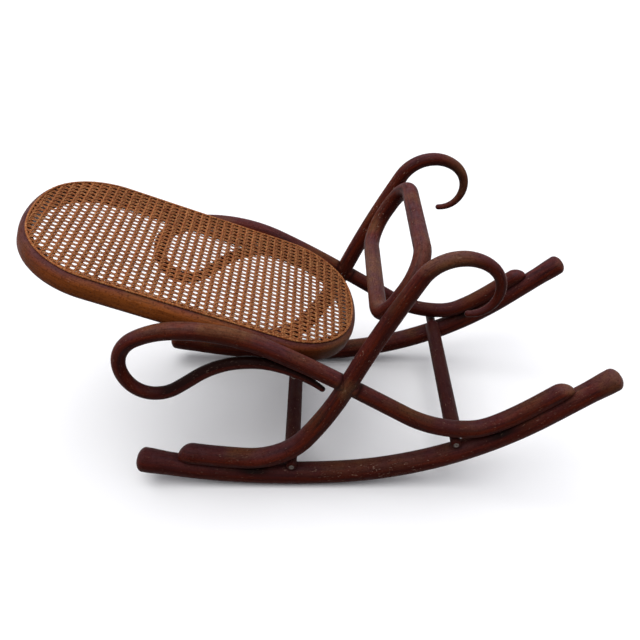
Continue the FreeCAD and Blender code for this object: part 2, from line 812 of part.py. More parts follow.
def export(pieces):
    """Check every object, then write one file for each piece."""
    DOC.recompute()
    for item in DOC.Objects:
        if {"Invalid", "Error"} & set(item.State):
            raise RuntimeError(f"{item.Label} failed: {item.State}")
    for piece in pieces:
        if piece.Shape.isNull() or not piece.Shape.isValid():
            raise RuntimeError(f"{piece.Label} has no valid shape")
    os.makedirs("parts", exist_ok=True)
    for piece in pieces:
        piece.Shape.exportStep(f"parts/{piece.Label}.step")
        box = piece.Shape.BoundBox
        print(f"{piece.Label}: {len(piece.Shape.Solids)} solids, {piece.Shape.Volume / 1000:.1f} cm3,",
              f"x {box.XMin:.1f} {box.XMax:.1f}, z {box.ZMin:.1f} {box.ZMax:.1f}")


export(build())
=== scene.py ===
import math
import bmesh
import bpy
from mathutils import Matrix, Vector


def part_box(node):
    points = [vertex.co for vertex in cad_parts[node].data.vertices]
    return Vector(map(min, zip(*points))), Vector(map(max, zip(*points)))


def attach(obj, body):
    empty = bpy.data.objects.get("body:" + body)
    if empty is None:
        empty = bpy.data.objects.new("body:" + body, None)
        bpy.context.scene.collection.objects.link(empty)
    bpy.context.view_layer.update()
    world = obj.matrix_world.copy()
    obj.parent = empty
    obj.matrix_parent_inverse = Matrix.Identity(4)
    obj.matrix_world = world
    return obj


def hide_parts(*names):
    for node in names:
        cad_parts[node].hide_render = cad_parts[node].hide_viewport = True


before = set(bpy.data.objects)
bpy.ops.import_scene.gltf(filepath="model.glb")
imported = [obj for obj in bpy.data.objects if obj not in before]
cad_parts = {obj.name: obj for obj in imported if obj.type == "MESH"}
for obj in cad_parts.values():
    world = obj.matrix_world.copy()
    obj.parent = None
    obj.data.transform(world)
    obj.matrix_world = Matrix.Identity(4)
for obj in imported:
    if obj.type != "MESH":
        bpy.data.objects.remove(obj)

bl_info = {
    "name": "Bentwood rocking footstool",
    "version": (1, 0, 0),
    "blender": (4, 5, 0),
    "location": "3D View > Sidebar > Footstool",
    "description": "Dresses the footstool's frame with bent rods, a cane seat, screws and a stage",
    "category": "Object",
}

MM = 0.001

# Sizes in millimetres and degrees, the same as the part's own. Places in a side frame are X, Z.
SIZES = {
    "frame_half_width": 175.0, "fit_gap": 0.2,
    "rocker_diameter": 39.0, "rocker_front_club_diameter": 43.5, "rocker_front_neck_diameter": 40.5,
    "rocker_rear_neck_diameter": 36.0, "rocker_rear_club_diameter": 38.5,
    "rocker_end_round": 13.0, "rocker_club_length": 24.0, "rocker_neck_length": 30.0,
    "rocker_low_x": -50.1, "rocker_front_radius": 1045.0, "rocker_rear_radius": 620.0,
    "rocker_front_length": 271.0, "rocker_change_length": 83.0, "rocker_rear_length": 380.0,
    "rocker_tip_length": 127.0,
    "seat_cut_depth": 2.5, "foot_flat_depth": 2.5, "foot_end_round": 25.0,
    "foot_toe_share": 0.8, "seat_margin": 4.0,
    "upright_foot_diameter": 36.0, "upright_cross_diameter": 30.5, "upright_hoop_diameter": 28.0,
    "upright_top_diameter": 23.0, "upright_scroll_diameter": 15.5, "upright_tip_diameter": 9.5,
    "upright_foot_start": 69.0, "upright_foot_end": 186.0,
    "cross_x": 44.9, "cross_z": 222.0, "upright_cross_heading": 66.0,
    "upright_hoop_x": 109.9, "upright_hoop_z": 356.0, "upright_hoop_heading": 62.0,
    "scroll_top_x": 205.9, "scroll_top_z": 458.5, "scroll_side_x": 263.9, "scroll_side_z": 407.0,
    "scroll_under_x": 222.9, "scroll_under_z": 363.5,
    "scroll_tip_length": 7.0, "scroll_tip_radius": 70.0,
    "arm_foot_diameter": 30.0, "arm_cross_diameter": 27.8, "arm_crest_diameter": 29.0,
    "arm_loop_diameter": 22.5, "arm_return_diameter": 20.5, "arm_tail_diameter": 15.0,
    "arm_tip_diameter": 9.0, "arm_foot_start": 791.0, "arm_foot_end": 679.0,
    "arm_valley_x": 247.9, "arm_valley_z": 126.5, "arm_cross_heading": 147.0,
    "arm_crest_x": -216.1, "arm_crest_z": 330.0, "loop_end_x": -316.1, "loop_end_z": 262.0,
    "loop_under_x": -266.1, "loop_under_z": 204.5, "return_bend_x": -199.1,
    "return_bend_z": 238.0, "return_bend_heading": 37.0,
    "return_crest_x": -111.1, "return_crest_z": 269.0,
    "tail_contact_x": -26.1, "tail_length": 58.0, "tail_radius": 220.0, "lap_gap": 0.5,
    "seat_x": 5.9, "seat_lift": 10.0, "seat_tilt": 20.85,
    "ring_width": 34.0, "ring_depth": 38.0, "ring_front_length": 512.5, "ring_rear_length": 64.0,
    "ring_corner_radius": 131.5, "ring_end_radius": 270.0,
    "ring_top_round": 12.0, "ring_under_round": 13.0, "ring_inner_round": 5.0,
    "cane_margin": 8.5, "cane_thickness": 2.0, "binder_width": 4.0, "binder_thickness": 1.2,
    "hoop_diameter": 28.0, "hoop_low_x": 93.4, "hoop_low_z": 323.0, "hoop_length": 124.0,
    "hoop_heading": 59.5, "hoop_corner_radius": 54.0,
    "stretcher_diameter": 27.5, "stretcher_pin_diameter": 18.0, "stretcher_clearance": 1.5,
    "stretcher_reach": 14.0, "stretcher_pin_round": 3.0,
}
# Sides of a round section, steps round a corner, and the distance between sections in millimetres
ROD_SIDES, HOOP_SIDES, RAIL_SIDES = 36, 28, 24
CORNER_STEPS = 6
STEP, RAIL_STEP = 5.0, 12.0
SHARP_DEGREES = 40
# Sections at a rounded end, as shares of the round
END_SHARES = (0.05, 0.12, 0.22, 0.36, 0.52, 0.7, 0.85)
# Close sections at a half-lap: reach as a share of the lap's radius, and step in millimetres
LAP_REACH, LAP_STEP = 1.4, 0.8
# Where each rod starts in the long billet that carries the grain, and how far on its twin starts
BILLET = {"rocker": 0.0, "scroll_upright": 5000.0, "loop_arm": 10000.0, "ring": 15000.0,
          "hoop": 17500.0, "rail": 20000.0}
TWIN_SHIFT, RAIL_SHIFT = 2000.0, 1000.0
# The photo shows the weave open almost to its binder, so under the cane the ring is drawn this
# much narrower than the solid, in millimetres
RING_UNDERCUT = 15.0
RING_INNER = SIZES["ring_width"] - RING_UNDERCUT
RING_EDGE = 0.8


def size(name):
    return SIZES[name]


# Centre-lines as chains of tangent bends

class Arc:
    """One bend of a rod: a start point and heading, a curvature and a length."""

    def __init__(self, x, z, heading, curvature, length):
        self.x, self.z, self.heading = x, z, heading
        self.curvature, self.length = curvature, length

    def at(self, s):
        end = self.heading + self.curvature * s
        if abs(self.curvature) < 1e-9:
            return self.x + math.cos(end) * s, self.z + math.sin(end) * s, end
        x = self.x + (math.sin(end) - math.sin(self.heading)) / self.curvature
        z = self.z - (math.cos(end) - math.cos(self.heading)) / self.curvature
        return x, z, end


class Path:
    """A chain of tangent bends in one plane."""

    def __init__(self, arcs=()):
        self.arcs = list(arcs)

    @property
    def length(self):
        return sum(arc.length for arc in self.arcs)

    def at(self, s):
        for arc in self.arcs:
            if s <= arc.length:
                return arc.at(s)
            s -= arc.length
        return self.arcs[-1].at(self.arcs[-1].length + s)

    def end(self):
        return self.at(self.length)

    def bend(self, radius, length):
        """Add a bend; a radius of zero is a straight run, and a negative one turns right."""
        x, z, heading = self.end()
        self.arcs.append(Arc(x, z, heading, 1.0 / radius if radius else 0.0, length))

    def to(self, x, z, degrees):
        """Add the pair of tangent bends that ends at a point with a heading."""
        x0, z0, h0 = self.end()
        h1 = math.radians(degrees)
        t0 = (math.cos(h0), math.sin(h0))
        t1 = (math.cos(h1), math.sin(h1))
        v = (x - x0, z - z0)
        vv = v[0] ** 2 + v[1] ** 2
        vt = v[0] * (t0[0] + t1[0]) + v[1] * (t0[1] + t1[1])
        turn = 2.0 * (1.0 - t0[0] * t1[0] - t0[1] * t1[1])
        reach = vv / (2.0 * vt) if turn < 1e-6 else (math.sqrt(vt * vt + turn * vv) - vt) / turn
        middle = [(a + b + reach * (c - d)) / 2 for a, b, c, d in zip((x0, z0), (x, z), t0, t1)]
        for target in (middle, (x, z)):
            self.arc_to(*target)
        return self.length

    def arc_to(self, x, z):
        """Add the one bend that leaves along the present heading and ends at a point."""
        x0, z0, h0 = self.end()
        chord = math.hypot(x - x0, z - z0)
        swing = math.atan2(z - z0, x - x0) - h0
        swing = math.atan2(math.sin(swing), math.cos(swing))
        length = chord if abs(swing) < 1e-9 else chord * swing / math.sin(swing)
        self.arcs.append(Arc(x0, z0, h0, 2.0 * math.sin(swing) / chord, length))

    def offset(self, start, finish, distance):
        """The parallel path on the left between two distances along this one."""
        result = Path()
        passed = 0.0
        for arc in self.arcs:
            first = max(start - passed, 0.0)
            last = min(finish - passed, arc.length)
            passed += arc.length
            if last - first > 1e-6:
                x, z, heading = arc.at(first)
                scale = 1.0 - arc.curvature * distance
                result.arcs.append(Arc(
                    x - math.sin(heading) * distance, z + math.cos(heading) * distance,
                    heading, arc.curvature / scale, (last - first) * scale))
        return result

    def reversed(self):
        back = Path()
        for arc in reversed(self.arcs):
            x, z, heading = arc.at(arc.length)
            back.arcs.append(Arc(x, z, heading + math.pi, -arc.curvature, arc.length))
        return back

    def nearest(self, x, z, start=0.0, finish=None):
        """Distance along the path of its nearest point to a place, found by halving steps."""
        finish = self.length if finish is None else finish
        count = 60
        step = (finish - start) / count
        best = start
        while step > 1e-3:
            places = [best + step * i for i in range(-count, count + 1)]
            places = [s for s in places if start <= s <= finish]
            best = min(places, key=lambda s: math.dist(self.at(s)[:2], (x, z)))
            step /= 8.0
        return best


class Taper:
    """Diameters along a rod, with straight lines between the stops."""

    def __init__(self, *stops):
        self.stops = sorted((s, size(name)) for s, name in stops)

    def diameter(self, s):
        for (s0, first), (s1, last) in zip(self.stops, self.stops[1:]):
            if s <= s1:
                return first + (last - first) * min(max((s - s0) / (s1 - s0), 0.0), 1.0)
        return self.stops[-1][1]


ROCKER_RADIUS = size("rocker_diameter") / 2


def rocker_path():
    radius, length = size("rocker_front_radius"), size("rocker_front_length")
    rise = length / radius
    path = Path([Arc(
        size("rocker_low_x") - radius * math.sin(rise),
        ROCKER_RADIUS + radius * (1 - math.cos(rise)),
        -rise, 1 / radius, length + size("rocker_change_length"))])
    path.bend(size("rocker_rear_radius"), size("rocker_rear_length"))
    path.bend(0, size("rocker_tip_length"))
    return path


def rocker_taper(length):
    club, neck = size("rocker_club_length"), size("rocker_neck_length")
    return Taper(
        (0.0, "rocker_front_club_diameter"), (club, "rocker_front_club_diameter"),
        (club + neck, "rocker_front_neck_diameter"),
        (size("rocker_front_length"), "rocker_diameter"),
        (length - club - neck, "rocker_rear_neck_diameter"),
        (length - club, "rocker_rear_club_diameter"), (length, "rocker_rear_club_diameter"))


ROCKER = rocker_path()
ROCKER_TAPER = rocker_taper(ROCKER.length)
SEAT_LEVEL = ROCKER_RADIUS - size("seat_cut_depth")


def foot_level(diameter):
    return SEAT_LEVEL + size("fit_gap") + size(diameter) / 2 - size("foot_flat_depth")


UPRIGHT = ROCKER.offset(
    size("upright_foot_start"), size("upright_foot_end"), foot_level("upright_foot_diameter"))
UPRIGHT_LIFT = UPRIGHT.length
UPRIGHT_CROSS = UPRIGHT.to(size("cross_x"), size("cross_z"), size("upright_cross_heading"))
UPRIGHT_HOOP = UPRIGHT.to(
    size("upright_hoop_x"), size("upright_hoop_z"), size("upright_hoop_heading"))
UPRIGHT_TOP = UPRIGHT.to(size("scroll_top_x"), size("scroll_top_z"), 0)
UPRIGHT_SIDE = UPRIGHT.to(size("scroll_side_x"), size("scroll_side_z"), -90)
UPRIGHT.to(size("scroll_under_x"), size("scroll_under_z"), -180)
UPRIGHT.bend(-size("scroll_tip_radius"), size("scroll_tip_length"))
UPRIGHT_TAPER = Taper(
    (0.0, "upright_foot_diameter"), (UPRIGHT_LIFT, "upright_foot_diameter"),
    (UPRIGHT_CROSS, "upright_cross_diameter"), (UPRIGHT_HOOP, "upright_hoop_diameter"),
    (UPRIGHT_TOP, "upright_top_diameter"), (UPRIGHT_SIDE, "upright_scroll_diameter"),
    (UPRIGHT.length, "upright_tip_diameter"))

ARM = ROCKER.offset(
    size("arm_foot_end"), size("arm_foot_start"), foot_level("arm_foot_diameter")).reversed()
ARM_LIFT = ARM.length
ARM.to(size("arm_valley_x"), size("arm_valley_z"), 180)
ARM_CROSS = ARM.to(size("cross_x"), size("cross_z"), size("arm_cross_heading"))
ARM_CREST = ARM.to(size("arm_crest_x"), size("arm_crest_z"), 180)
ARM_LOOP = ARM.to(size("loop_end_x"), size("loop_end_z"), -90)
ARM.to(size("loop_under_x"), size("loop_under_z"), 0)
ARM.to(size("return_bend_x"), size("return_bend_z"), size("return_bend_heading"))
ARM_RETURN = ARM.to(size("return_crest_x"), size("return_crest_z"), 0)


def add_tail(path):
    """Bring the arm's end back under its own strand, and let the tip turn away from it."""
    s = path.nearest(size("tail_contact_x"), size("cross_z"), ARM_CROSS, ARM_CREST)
    while path.at(s)[0] > size("tail_contact_x"):
        s += 1.0
    x, z, heading = path.at(s)
    drop = (size("arm_crest_diameter") + size("arm_tail_diameter")) / 2 + size("fit_gap")
    contact = path.to(
        x - math.sin(heading) * drop, z + math.cos(heading) * drop, math.degrees(heading) + 180)
    path.bend(-size("tail_radius"), size("tail_length"))
    return contact


ARM_CONTACT = add_tail(ARM)
ARM_TAPER = Taper(
    (0.0, "arm_foot_diameter"), (ARM_LIFT, "arm_foot_diameter"),
    (ARM_CROSS, "arm_cross_diameter"), (ARM_CREST, "arm_crest_diameter"),
    (ARM_LOOP, "arm_loop_diameter"), (ARM_RETURN, "arm_return_diameter"),
    (ARM_CONTACT, "arm_tail_diameter"), (ARM.length, "arm_tip_diameter"))


def rocker_distance(member, s):
    x, z, _ = member.at(s)
    return math.dist(ROCKER.at(ROCKER.nearest(x, z))[:2], (x, z))


def seat_run(member, taper, lift):
    """Distance past its lift-off at which a member is clear of the rocker."""
    s = lift
    while rocker_distance(member, s) < ROCKER_RADIUS + size("fit_gap") + taper.diameter(s) / 2:
        s += 2.0
    return s - lift


UPRIGHT_RUN = seat_run(UPRIGHT, UPRIGHT_TAPER, UPRIGHT_LIFT)
ARM_RUN = seat_run(ARM, ARM_TAPER, ARM_LIFT)


def ring_path():
    """The whole outer edge of the seat ring, from the middle of its high end."""
    corner, cap = size("ring_corner_radius"), size("ring_end_radius")
    half = size("frame_half_width") - size("arm_crest_diameter") / 2 - size("fit_gap")
    swing = math.asin((half - corner) / (cap - corner))
    turn_in = cap - (cap - corner) * math.cos(swing)
    path = Path([Arc(-size("ring_front_length"), 0.0, -math.pi / 2, 1 / cap, cap * swing)])
    straight = size("ring_rear_length") + size("ring_front_length") - 2 * turn_in
    for _ in range(2):
        path.bend(corner, corner * (math.pi / 2 - swing))
        path.bend(0, straight)
        path.bend(corner, corner * (math.pi / 2 - swing))
        path.bend(cap, cap * swing * 2)
    path.arcs[-1].length /= 2
    return path


RING = ring_path()
SEAT_HEIGHT = (
    ARM.at((ARM_CROSS + ARM_CREST) / 2)[1] + size("seat_lift")
    + (ARM.at((ARM_CROSS + ARM_CREST) / 2)[0] - size("seat_x"))
    * math.tan(math.radians(size("seat_tilt"))))


# Planes that carry a flat drawing into the row frame, in millimetres

def side_plane(side):
    return Matrix((
        (1, 0, 0, 0), (0, 0, 1, side * size("frame_half_width")), (0, 1, 0, 0), (0, 0, 0, 1)))


def seat_plane():
    turn = Matrix.Rotation(math.radians(size("seat_tilt")), 4, "Y")
    return Matrix.Translation((size("seat_x"), 0, SEAT_HEIGHT)) @ turn


def hoop_plane():
    heading = math.radians(size("hoop_heading"))
    along, up = (math.cos(heading), math.sin(heading)), (-math.sin(heading), math.cos(heading))
    return Matrix((
        (along[0], 0, up[0], size("hoop_low_x")), (0, 1, 0, 0),
        (along[1], 0, up[1], size("hoop_low_z")), (0, 0, 0, 1)))


def rail_plane(x, z):
    return Matrix(((0, 0, 1, x), (1, 0, 0, 0), (0, 1, 0, z), (0, 0, 0, 1)))


# Meshes

def link(name, mesh, material):
    """Add a finished piece that rides on the stool's one body."""
    piece = bpy.data.objects.new(name, mesh)
    bpy.context.scene.collection.objects.link(piece)
    if material:
        mesh.materials.clear()
        mesh.materials.append(material)
    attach(piece, "root")
    return piece


def swept(name, path, places, section, plane, closed=False, shift=0.0):
    """Mesh of a section carried along a path, with its place in the unbent billet at corners."""
    mesh = bmesh.new()
    grain = mesh.loops.layers.float_vector.new("grain")
    rings = []
    for s in places:
        x, z, heading = path.at(s)
        points = section(s)
        verts = [mesh.verts.new(MM * (plane @ Vector((
            x - math.sin(heading) * n, z + math.cos(heading) * n, b)))) for n, b in points]
        rings.append((verts, [Vector((s + shift, n, b)) * MM for n, b in points]))
    if closed:
        first = section(path.length)
        rings.append((rings[0][0], [Vector((path.length + shift, n, b)) * MM for n, b in first]))
    faces = []
    for (lower, low_grain), (upper, high_grain) in zip(rings, rings[1:]):
        for i in range(len(lower)):
            faces.append(((lower[i - 1], lower[i], upper[i], upper[i - 1]),
                          (low_grain[i - 1], low_grain[i], high_grain[i], high_grain[i - 1])))
    if not closed:
        faces += [rings[0], rings[-1]]
    for verts, places_in_billet in faces:
        face = mesh.faces.new(verts)
        face.smooth = True
        for loop, place in zip(face.loops, places_in_billet):
            loop[grain] = place
    bmesh.ops.recalc_face_normals(mesh, faces=mesh.faces)
    result = bpy.data.meshes.new(name)
    mesh.to_mesh(result)
    mesh.free()
    result.set_sharp_from_angle(angle=math.radians(SHARP_DEGREES))
    return result


def marked(mesh, name, rule):
    """Store a share at each corner, worked out from its place in the unbent billet in mm."""
    shares = mesh.attributes.new(name, "FLOAT", "CORNER")
    for item, place in zip(shares.data, mesh.attributes["grain"].data):
        item.value = rule(*(place.vector / MM))


def spaced(start, finish, step):
    count = max(1, math.ceil((finish - start) / step))
    return [start + (finish - start) * i / count for i in range(count + 1)]


def circle(radius, count):
    angles = [2 * math.pi * k / count for k in range(count)]
    return [(radius * math.cos(angle), radius * math.sin(angle)) for angle in angles]


def end_share(s, length, rounds):
    """Share of the full diameter at a place, less than one at a rod's rounded ends."""
    share = min(s / rounds[0], (length - s) / rounds[1], 1.0)
    return math.sqrt(max(1.0 - (1.0 - share) ** 2, 0.0))


def rod_mesh(name, path, taper, rounds, toward, flat, plane, shift, toe=0.0, lap=None, fine=()):
    """A tapered rod bent along a path, planed on the side given by toward where flat is set."""
    def section(s):
        full = taper.diameter(s) / 2
        radius = full * end_share(s, path.length, rounds)
        drop = toe * (full - radius) if s < rounds[0] else 0.0
        level = flat(s)
        points = []
        for m, b in circle(radius, ROD_SIDES):
            m += drop
            if level is not None:
                m = min(m, level)
            points.append((toward * m, b))
        return halved(path, s, points, lap) if lap else points

    places = [rounds[0] * share for share in END_SHARES]
    places += spaced(rounds[0], path.length - rounds[1], STEP)
    places += [path.length - rounds[1] * share for share in END_SHARES]
    for low, high, step in fine:
        places = [s for s in places if not low < s < high] + spaced(low, high, step)
    return swept(name, path, sorted(set(places)), section, plane, shift=shift)


def halved(path, s, points, lap):
    """Cut away the half of a section that lies in the rod crossing it."""
    x, z, heading, radius, side = lap
    px, pz, turn = path.at(s)
    result = []
    for n, b in points:
        dx, dz = px - math.sin(turn) * n - x, pz + math.cos(turn) * n - z
        across = -math.sin(heading) * dx + math.cos(heading) * dz
        along = math.cos(heading) * dx + math.sin(heading) * dz
        inside = b * side > 0 and math.hypot(across, b) < radius and abs(along) < 2 * radius
        result.append((n, 0.0) if inside else (n, b))
    return result


# Node trees

MATH, VECTOR = "ShaderNodeMath", "ShaderNodeVectorMath"
COMBINE, SEPARATE = "ShaderNodeCombineXYZ", "ShaderNodeSeparateXYZ"
MIX, RANGE, NOISE = "ShaderNodeMix", "ShaderNodeMapRange", "ShaderNodeTexNoise"
MAPPING, COORDINATES = "ShaderNodeMapping", "ShaderNodeTexCoord"
ATTRIBUTE, BUMP = "ShaderNodeAttribute", "ShaderNodeBump"
SHADER, SURFACE = "ShaderNodeBsdfPrincipled", "ShaderNodeOutputMaterial"
MOVE, TRANSFORM = "GeometryNodeSetPosition", "GeometryNodeTransform"
INSTANCES, REALIZE = "GeometryNodeInstanceOnPoints", "GeometryNodeRealizeInstances"


def linear(colour):
    """Linear red, green, blue and alpha of an sRGB hex colour."""
    parts = [int(colour[i:i + 2], 16) / 255 for i in (1, 3, 5)]
    return [c / 12.92 if c <= 0.04045 else ((c + 0.055) / 1.055) ** 2.4 for c in parts] + [1.0]


def add_node(tree, kind, inputs=(), out=0, **settings):
    """Add a node with its settings, give its inputs values or links, and return one output."""
    node = tree.nodes.new(kind)
    for name, value in settings.items():
        setattr(node, name, value)
    for key, value in inputs.items() if isinstance(inputs, dict) else enumerate(inputs):
        if isinstance(value, bpy.types.NodeSocket):
            tree.links.new(value, node.inputs[key])
        else:
            node.inputs[key].default_value = value
    return node.outputs[out] if node.outputs else None


def growth(name, inputs):
    """An empty geometry tree with named inputs."""
    tree = bpy.data.node_groups.new(name, "GeometryNodeTree")
    tree.interface.new_socket("Geometry", in_out="INPUT", socket_type="NodeSocketGeometry")
    for label, kind in inputs.items():
        tree.interface.new_socket(label, in_out="INPUT", socket_type=f"NodeSocket{kind}")
    tree.interface.new_socket("Geometry", in_out="OUTPUT", socket_type="NodeSocketGeometry")
    return tree, tree.nodes.new("NodeGroupInput").outputs


def finish_growth(tree, geometry, material, smooth=True):
    """Make a tree's instances real and give them their material."""
    real = add_node(tree, REALIZE, [geometry])
    shaded = add_node(tree, "GeometryNodeSetShadeSmooth", {
        "Geometry": real, "Shade Smooth": smooth})
    made = add_node(tree, "GeometryNodeSetMaterial", {"Geometry": shaded, "Material": material})
    add_node(tree, "NodeGroupOutput", [made])


def grown(name, data, tree, values, plane=None):
    """A plain mesh piece made by a node tree from some starting data."""
    source = bpy.data.objects.new(f"{name}_source", data)
    bpy.context.scene.collection.objects.link(source)
    modifier = source.modifiers.new("growth", "NODES")
    modifier.node_group = tree
    for item in tree.interface.items_tree:
        if item.in_out == "INPUT" and item.name in values:
            modifier[item.identifier] = values[item.name]
    depsgraph = bpy.context.evaluated_depsgraph_get()
    mesh = bpy.data.meshes.new_from_object(source.evaluated_get(depsgraph), depsgraph=depsgraph)
    bpy.data.objects.remove(source)
    if not mesh.polygons:
        raise RuntimeError(f"{name} has no faces")
    mesh.name = name
    if plane:
        mesh.transform(Matrix.Scale(MM, 4) @ plane @ Matrix.Scale(1 / MM, 4))
    return link(name, mesh, None)


# Materials

# Places on the wood with a finish of their own: centre and reach in millimetres
BROWN_PLACES = (
    ((172, -40, 385), (25, 90, 30)), ((90, 0, 330), (22, 110, 24)), ((250, 175, 425), (40, 20, 60)),
    ((180, -178, 455), (60, 20, 30)), ((405, -178, 222), (22, 20, 14)),
    ((464, -178, 236), (34, 26, 30)),
    ((20, -110, 246), (60, 60, 30)), ((44, -190, 225), (26, 10, 26)))
SCUFFED_PLACES = (
    ((60, -190, 265), (50, 14, 110)), ((105, -190, 40), (230, 14, 40)),
    ((120, 150, 380), (80, 60, 110)))


def material_tree(name):
    material = bpy.data.materials.new(name)
    material.use_nodes = True
    material.node_tree.nodes.clear()
    return material, material.node_tree


def near_places(tree, position, places):
    """One inside any of the given places, fading to zero at their reach."""
    total = 0.0
    for centre, reach in places:
        scaled = add_node(tree, MAPPING, {
            "Vector": position, "Location": Vector(centre) * MM, "Scale": Vector(reach) * MM},
            vector_type="TEXTURE")
        away = add_node(tree, VECTOR, [scaled], "Value", operation="LENGTH")
        share = add_node(tree, RANGE, (away, 1.0, 0.25))
        total = add_node(tree, MATH, (total, share), operation="MAXIMUM")
    return total


def stained_beech(colours):
    """Steamed beech under a dark red stain and old shellac."""
    # Streaks run with the bend, the shellac has crazed to fine dark specks, upper sides have faded
    # to a dull purple brown that also stands in for a painted sheen, and hands and feet have rubbed
    # some places amber, brown or pale. Down-facing sides and marked places get painted shade.
    material, tree = material_tree("stained beech")
    grain = add_node(tree, ATTRIBUTE, out="Vector", attribute_name="grain")
    position = add_node(tree, COORDINATES, out="Object")
    # Streaks 80 mm long and 6 mm wide, pores 20 mm long and a millimetre wide, and scuffs 6 mm long
    streaks, pores, dashes = (
        add_node(tree, NOISE, {"Scale": 1.0, "Detail": detail, "Vector": add_node(
            tree, MAPPING, {"Vector": grain, "Scale": scale})})
        for detail, scale in ((5.0, (12.0, 160.0, 160.0)), (3.0, (50.0, 1000.0, 1000.0)),
                              (2.0, (170.0, 620.0, 620.0))))
    # Crazing of 3 mm, mottling of 12 mm, and clouds of 90 mm where the varnish has thinned
    crazing, mottle, cloud = (
        add_node(tree, NOISE, {"Vector": position, "Scale": scale, "Detail": detail})
        for scale, detail in ((330.0, 2.0), (85.0, 4.0), (11.0, 4.0)))
    normal = add_node(tree, "ShaderNodeNewGeometry", out="Normal")
    upward = add_node(tree, SEPARATE, [normal], 2)

    base = add_node(tree, MIX, {
        0: add_node(tree, RANGE, (streaks, 0.3, 0.7)), 6: colours.stain_dark_and_shade, 7: colours.stain_red},
        2, data_type="RGBA")
    amber = add_node(tree, MATH, (
        add_node(tree, ATTRIBUTE, out="Fac", attribute_name="amber"),
        add_node(tree, RANGE, (streaks, 0.3, 0.62, 0.6, 1.0))), operation="MULTIPLY")
    rubbed = add_node(tree, MATH, (
        near_places(tree, position, BROWN_PLACES),
        add_node(tree, RANGE, (mottle, 0.3, 0.6, 0.4, 0.9))), operation="MULTIPLY")
    # Painted sheen and real fading: up-facing sides turn dull purple brown, golden brown in the
    # clouds
    faded_sheen_colour = add_node(tree, MIX, {
        0: add_node(tree, RANGE, (cloud, 0.46, 0.64)),
        6: colours.stain_faded_and_sheen, 7: colours.stain_worn}, 2, data_type="RGBA")
    faded_and_sheen = add_node(tree, MATH, (
        add_node(tree, RANGE, (upward, 0.2, 0.95, 0.05, 0.7)),
        add_node(tree, RANGE, (mottle, 0.3, 0.7, 1.0, 0.5))), operation="MULTIPLY")
    specks = add_node(tree, MATH, (
        add_node(tree, RANGE, (crazing, 0.52, 0.7, 0.0, 0.55)),
        add_node(tree, RANGE, (pores, 0.52, 0.68, 0.0, 0.55))), operation="MAXIMUM")
    # Painted shade: darker on down-facing sides and wherever the rods carry a shade mark
    painted_shade_share = add_node(tree, ATTRIBUTE, out="Fac", attribute_name="shade")
    shade = add_node(tree, MATH, (
        painted_shade_share, add_node(tree, RANGE, (upward, 0.3, -0.55, 0.0, 0.72))), operation="MAXIMUM")
    # Painted shadow, near black, where the shade mark is strongest: crooks, loops, seams, under the
    # cane
    painted_shadow = add_node(tree, RANGE, (painted_shade_share, 0.8, 1.0, 0.0, 0.85))
    # Scuffs are thickest where the frame is handled
    often = add_node(tree, MATH, (
        add_node(tree, RANGE, (
            near_places(tree, position, SCUFFED_PLACES), 0.0, 1.0, 0.2, 0.75)),
        add_node(tree, RANGE, (mottle, 0.48, 0.6))), operation="MULTIPLY")
    scuffs = add_node(tree, MATH, (
        add_node(tree, RANGE, (dashes, 0.6, 0.73)), often), operation="MULTIPLY")
    for share, layer in (
            (amber, colours.amber), (rubbed, colours.stain_worn), (faded_and_sheen, faded_sheen_colour),
            (specks, colours.stain_dark_and_shade), (shade, colours.stain_dark_and_shade), (painted_shadow, colours.painted_shadow),
            (scuffs, colours.scuff)):
        base = add_node(tree, MIX, {0: share, 6: base, 7: layer}, 2, data_type="RGBA")
    bump = add_node(tree, BUMP, {"Strength": 0.3, "Distance": 0.0004, "Height": pores})
    shader = add_node(tree, SHADER, {
        "Base Color": base, "Roughness": add_node(tree, RANGE, (mottle, 0.3, 0.7, 0.42, 0.64)),
        "Normal": bump, "Specular IOR Level": 0.05})
    add_node(tree, SURFACE, [shader])
    return material


def split_rattan(colours):
    """Split rattan under old varnish."""
    # Each strand has a tone from red to golden brown, with dirt in patches, darker towards the low
    # end, and paler fibres that also stand in for a painted sheen.
    material, tree = material_tree("split rattan")
    tone = add_node(tree, ATTRIBUTE, out="Fac", attribute_name="tone")
    position = add_node(tree, COORDINATES, out="Object")
    # Patches of 60 mm, and fibre marks of 2.4 mm, coarser than real ones so that they show
    patch = add_node(tree, NOISE, {"Vector": position, "Scale": 16.0, "Detail": 3.0})
    fibre = add_node(tree, NOISE, {"Vector": position, "Scale": 420.0, "Detail": 2.0})
    along = add_node(tree, SEPARATE, [position])
    base = add_node(tree, MIX, {
        0: add_node(tree, RANGE, (tone, 0.0, 1.0, 0.3, 0.75)),
        6: colours.cane_dark, 7: colours.cane_light}, 2, data_type="RGBA")
    for share, layer in (
            ((patch, 0.45, 0.7, 0.0, 0.6), colours.cane_dark),
            # Darker towards the low end of the seat
            ((along, -0.3, 0.02, 0.0, 0.4), colours.cane_dark),
            # Paler fibres, also a painted sheen
            ((fibre, 0.46, 0.66, 0.0, 0.75), colours.cane_gold_and_sheen)):
        base = add_node(tree, MIX, {
            0: add_node(tree, RANGE, share), 6: base, 7: layer}, 2, data_type="RGBA")
    bump = add_node(tree, BUMP, {"Strength": 0.2, "Distance": 0.0002, "Height": fibre})
    shader = add_node(tree, SHADER, {
        "Base Color": base, "Roughness": add_node(tree, RANGE, (patch, 0.3, 0.7, 0.42, 0.62)),
        "Normal": bump, "Specular IOR Level": 0.06})
    add_node(tree, SURFACE, [shader])
    return material


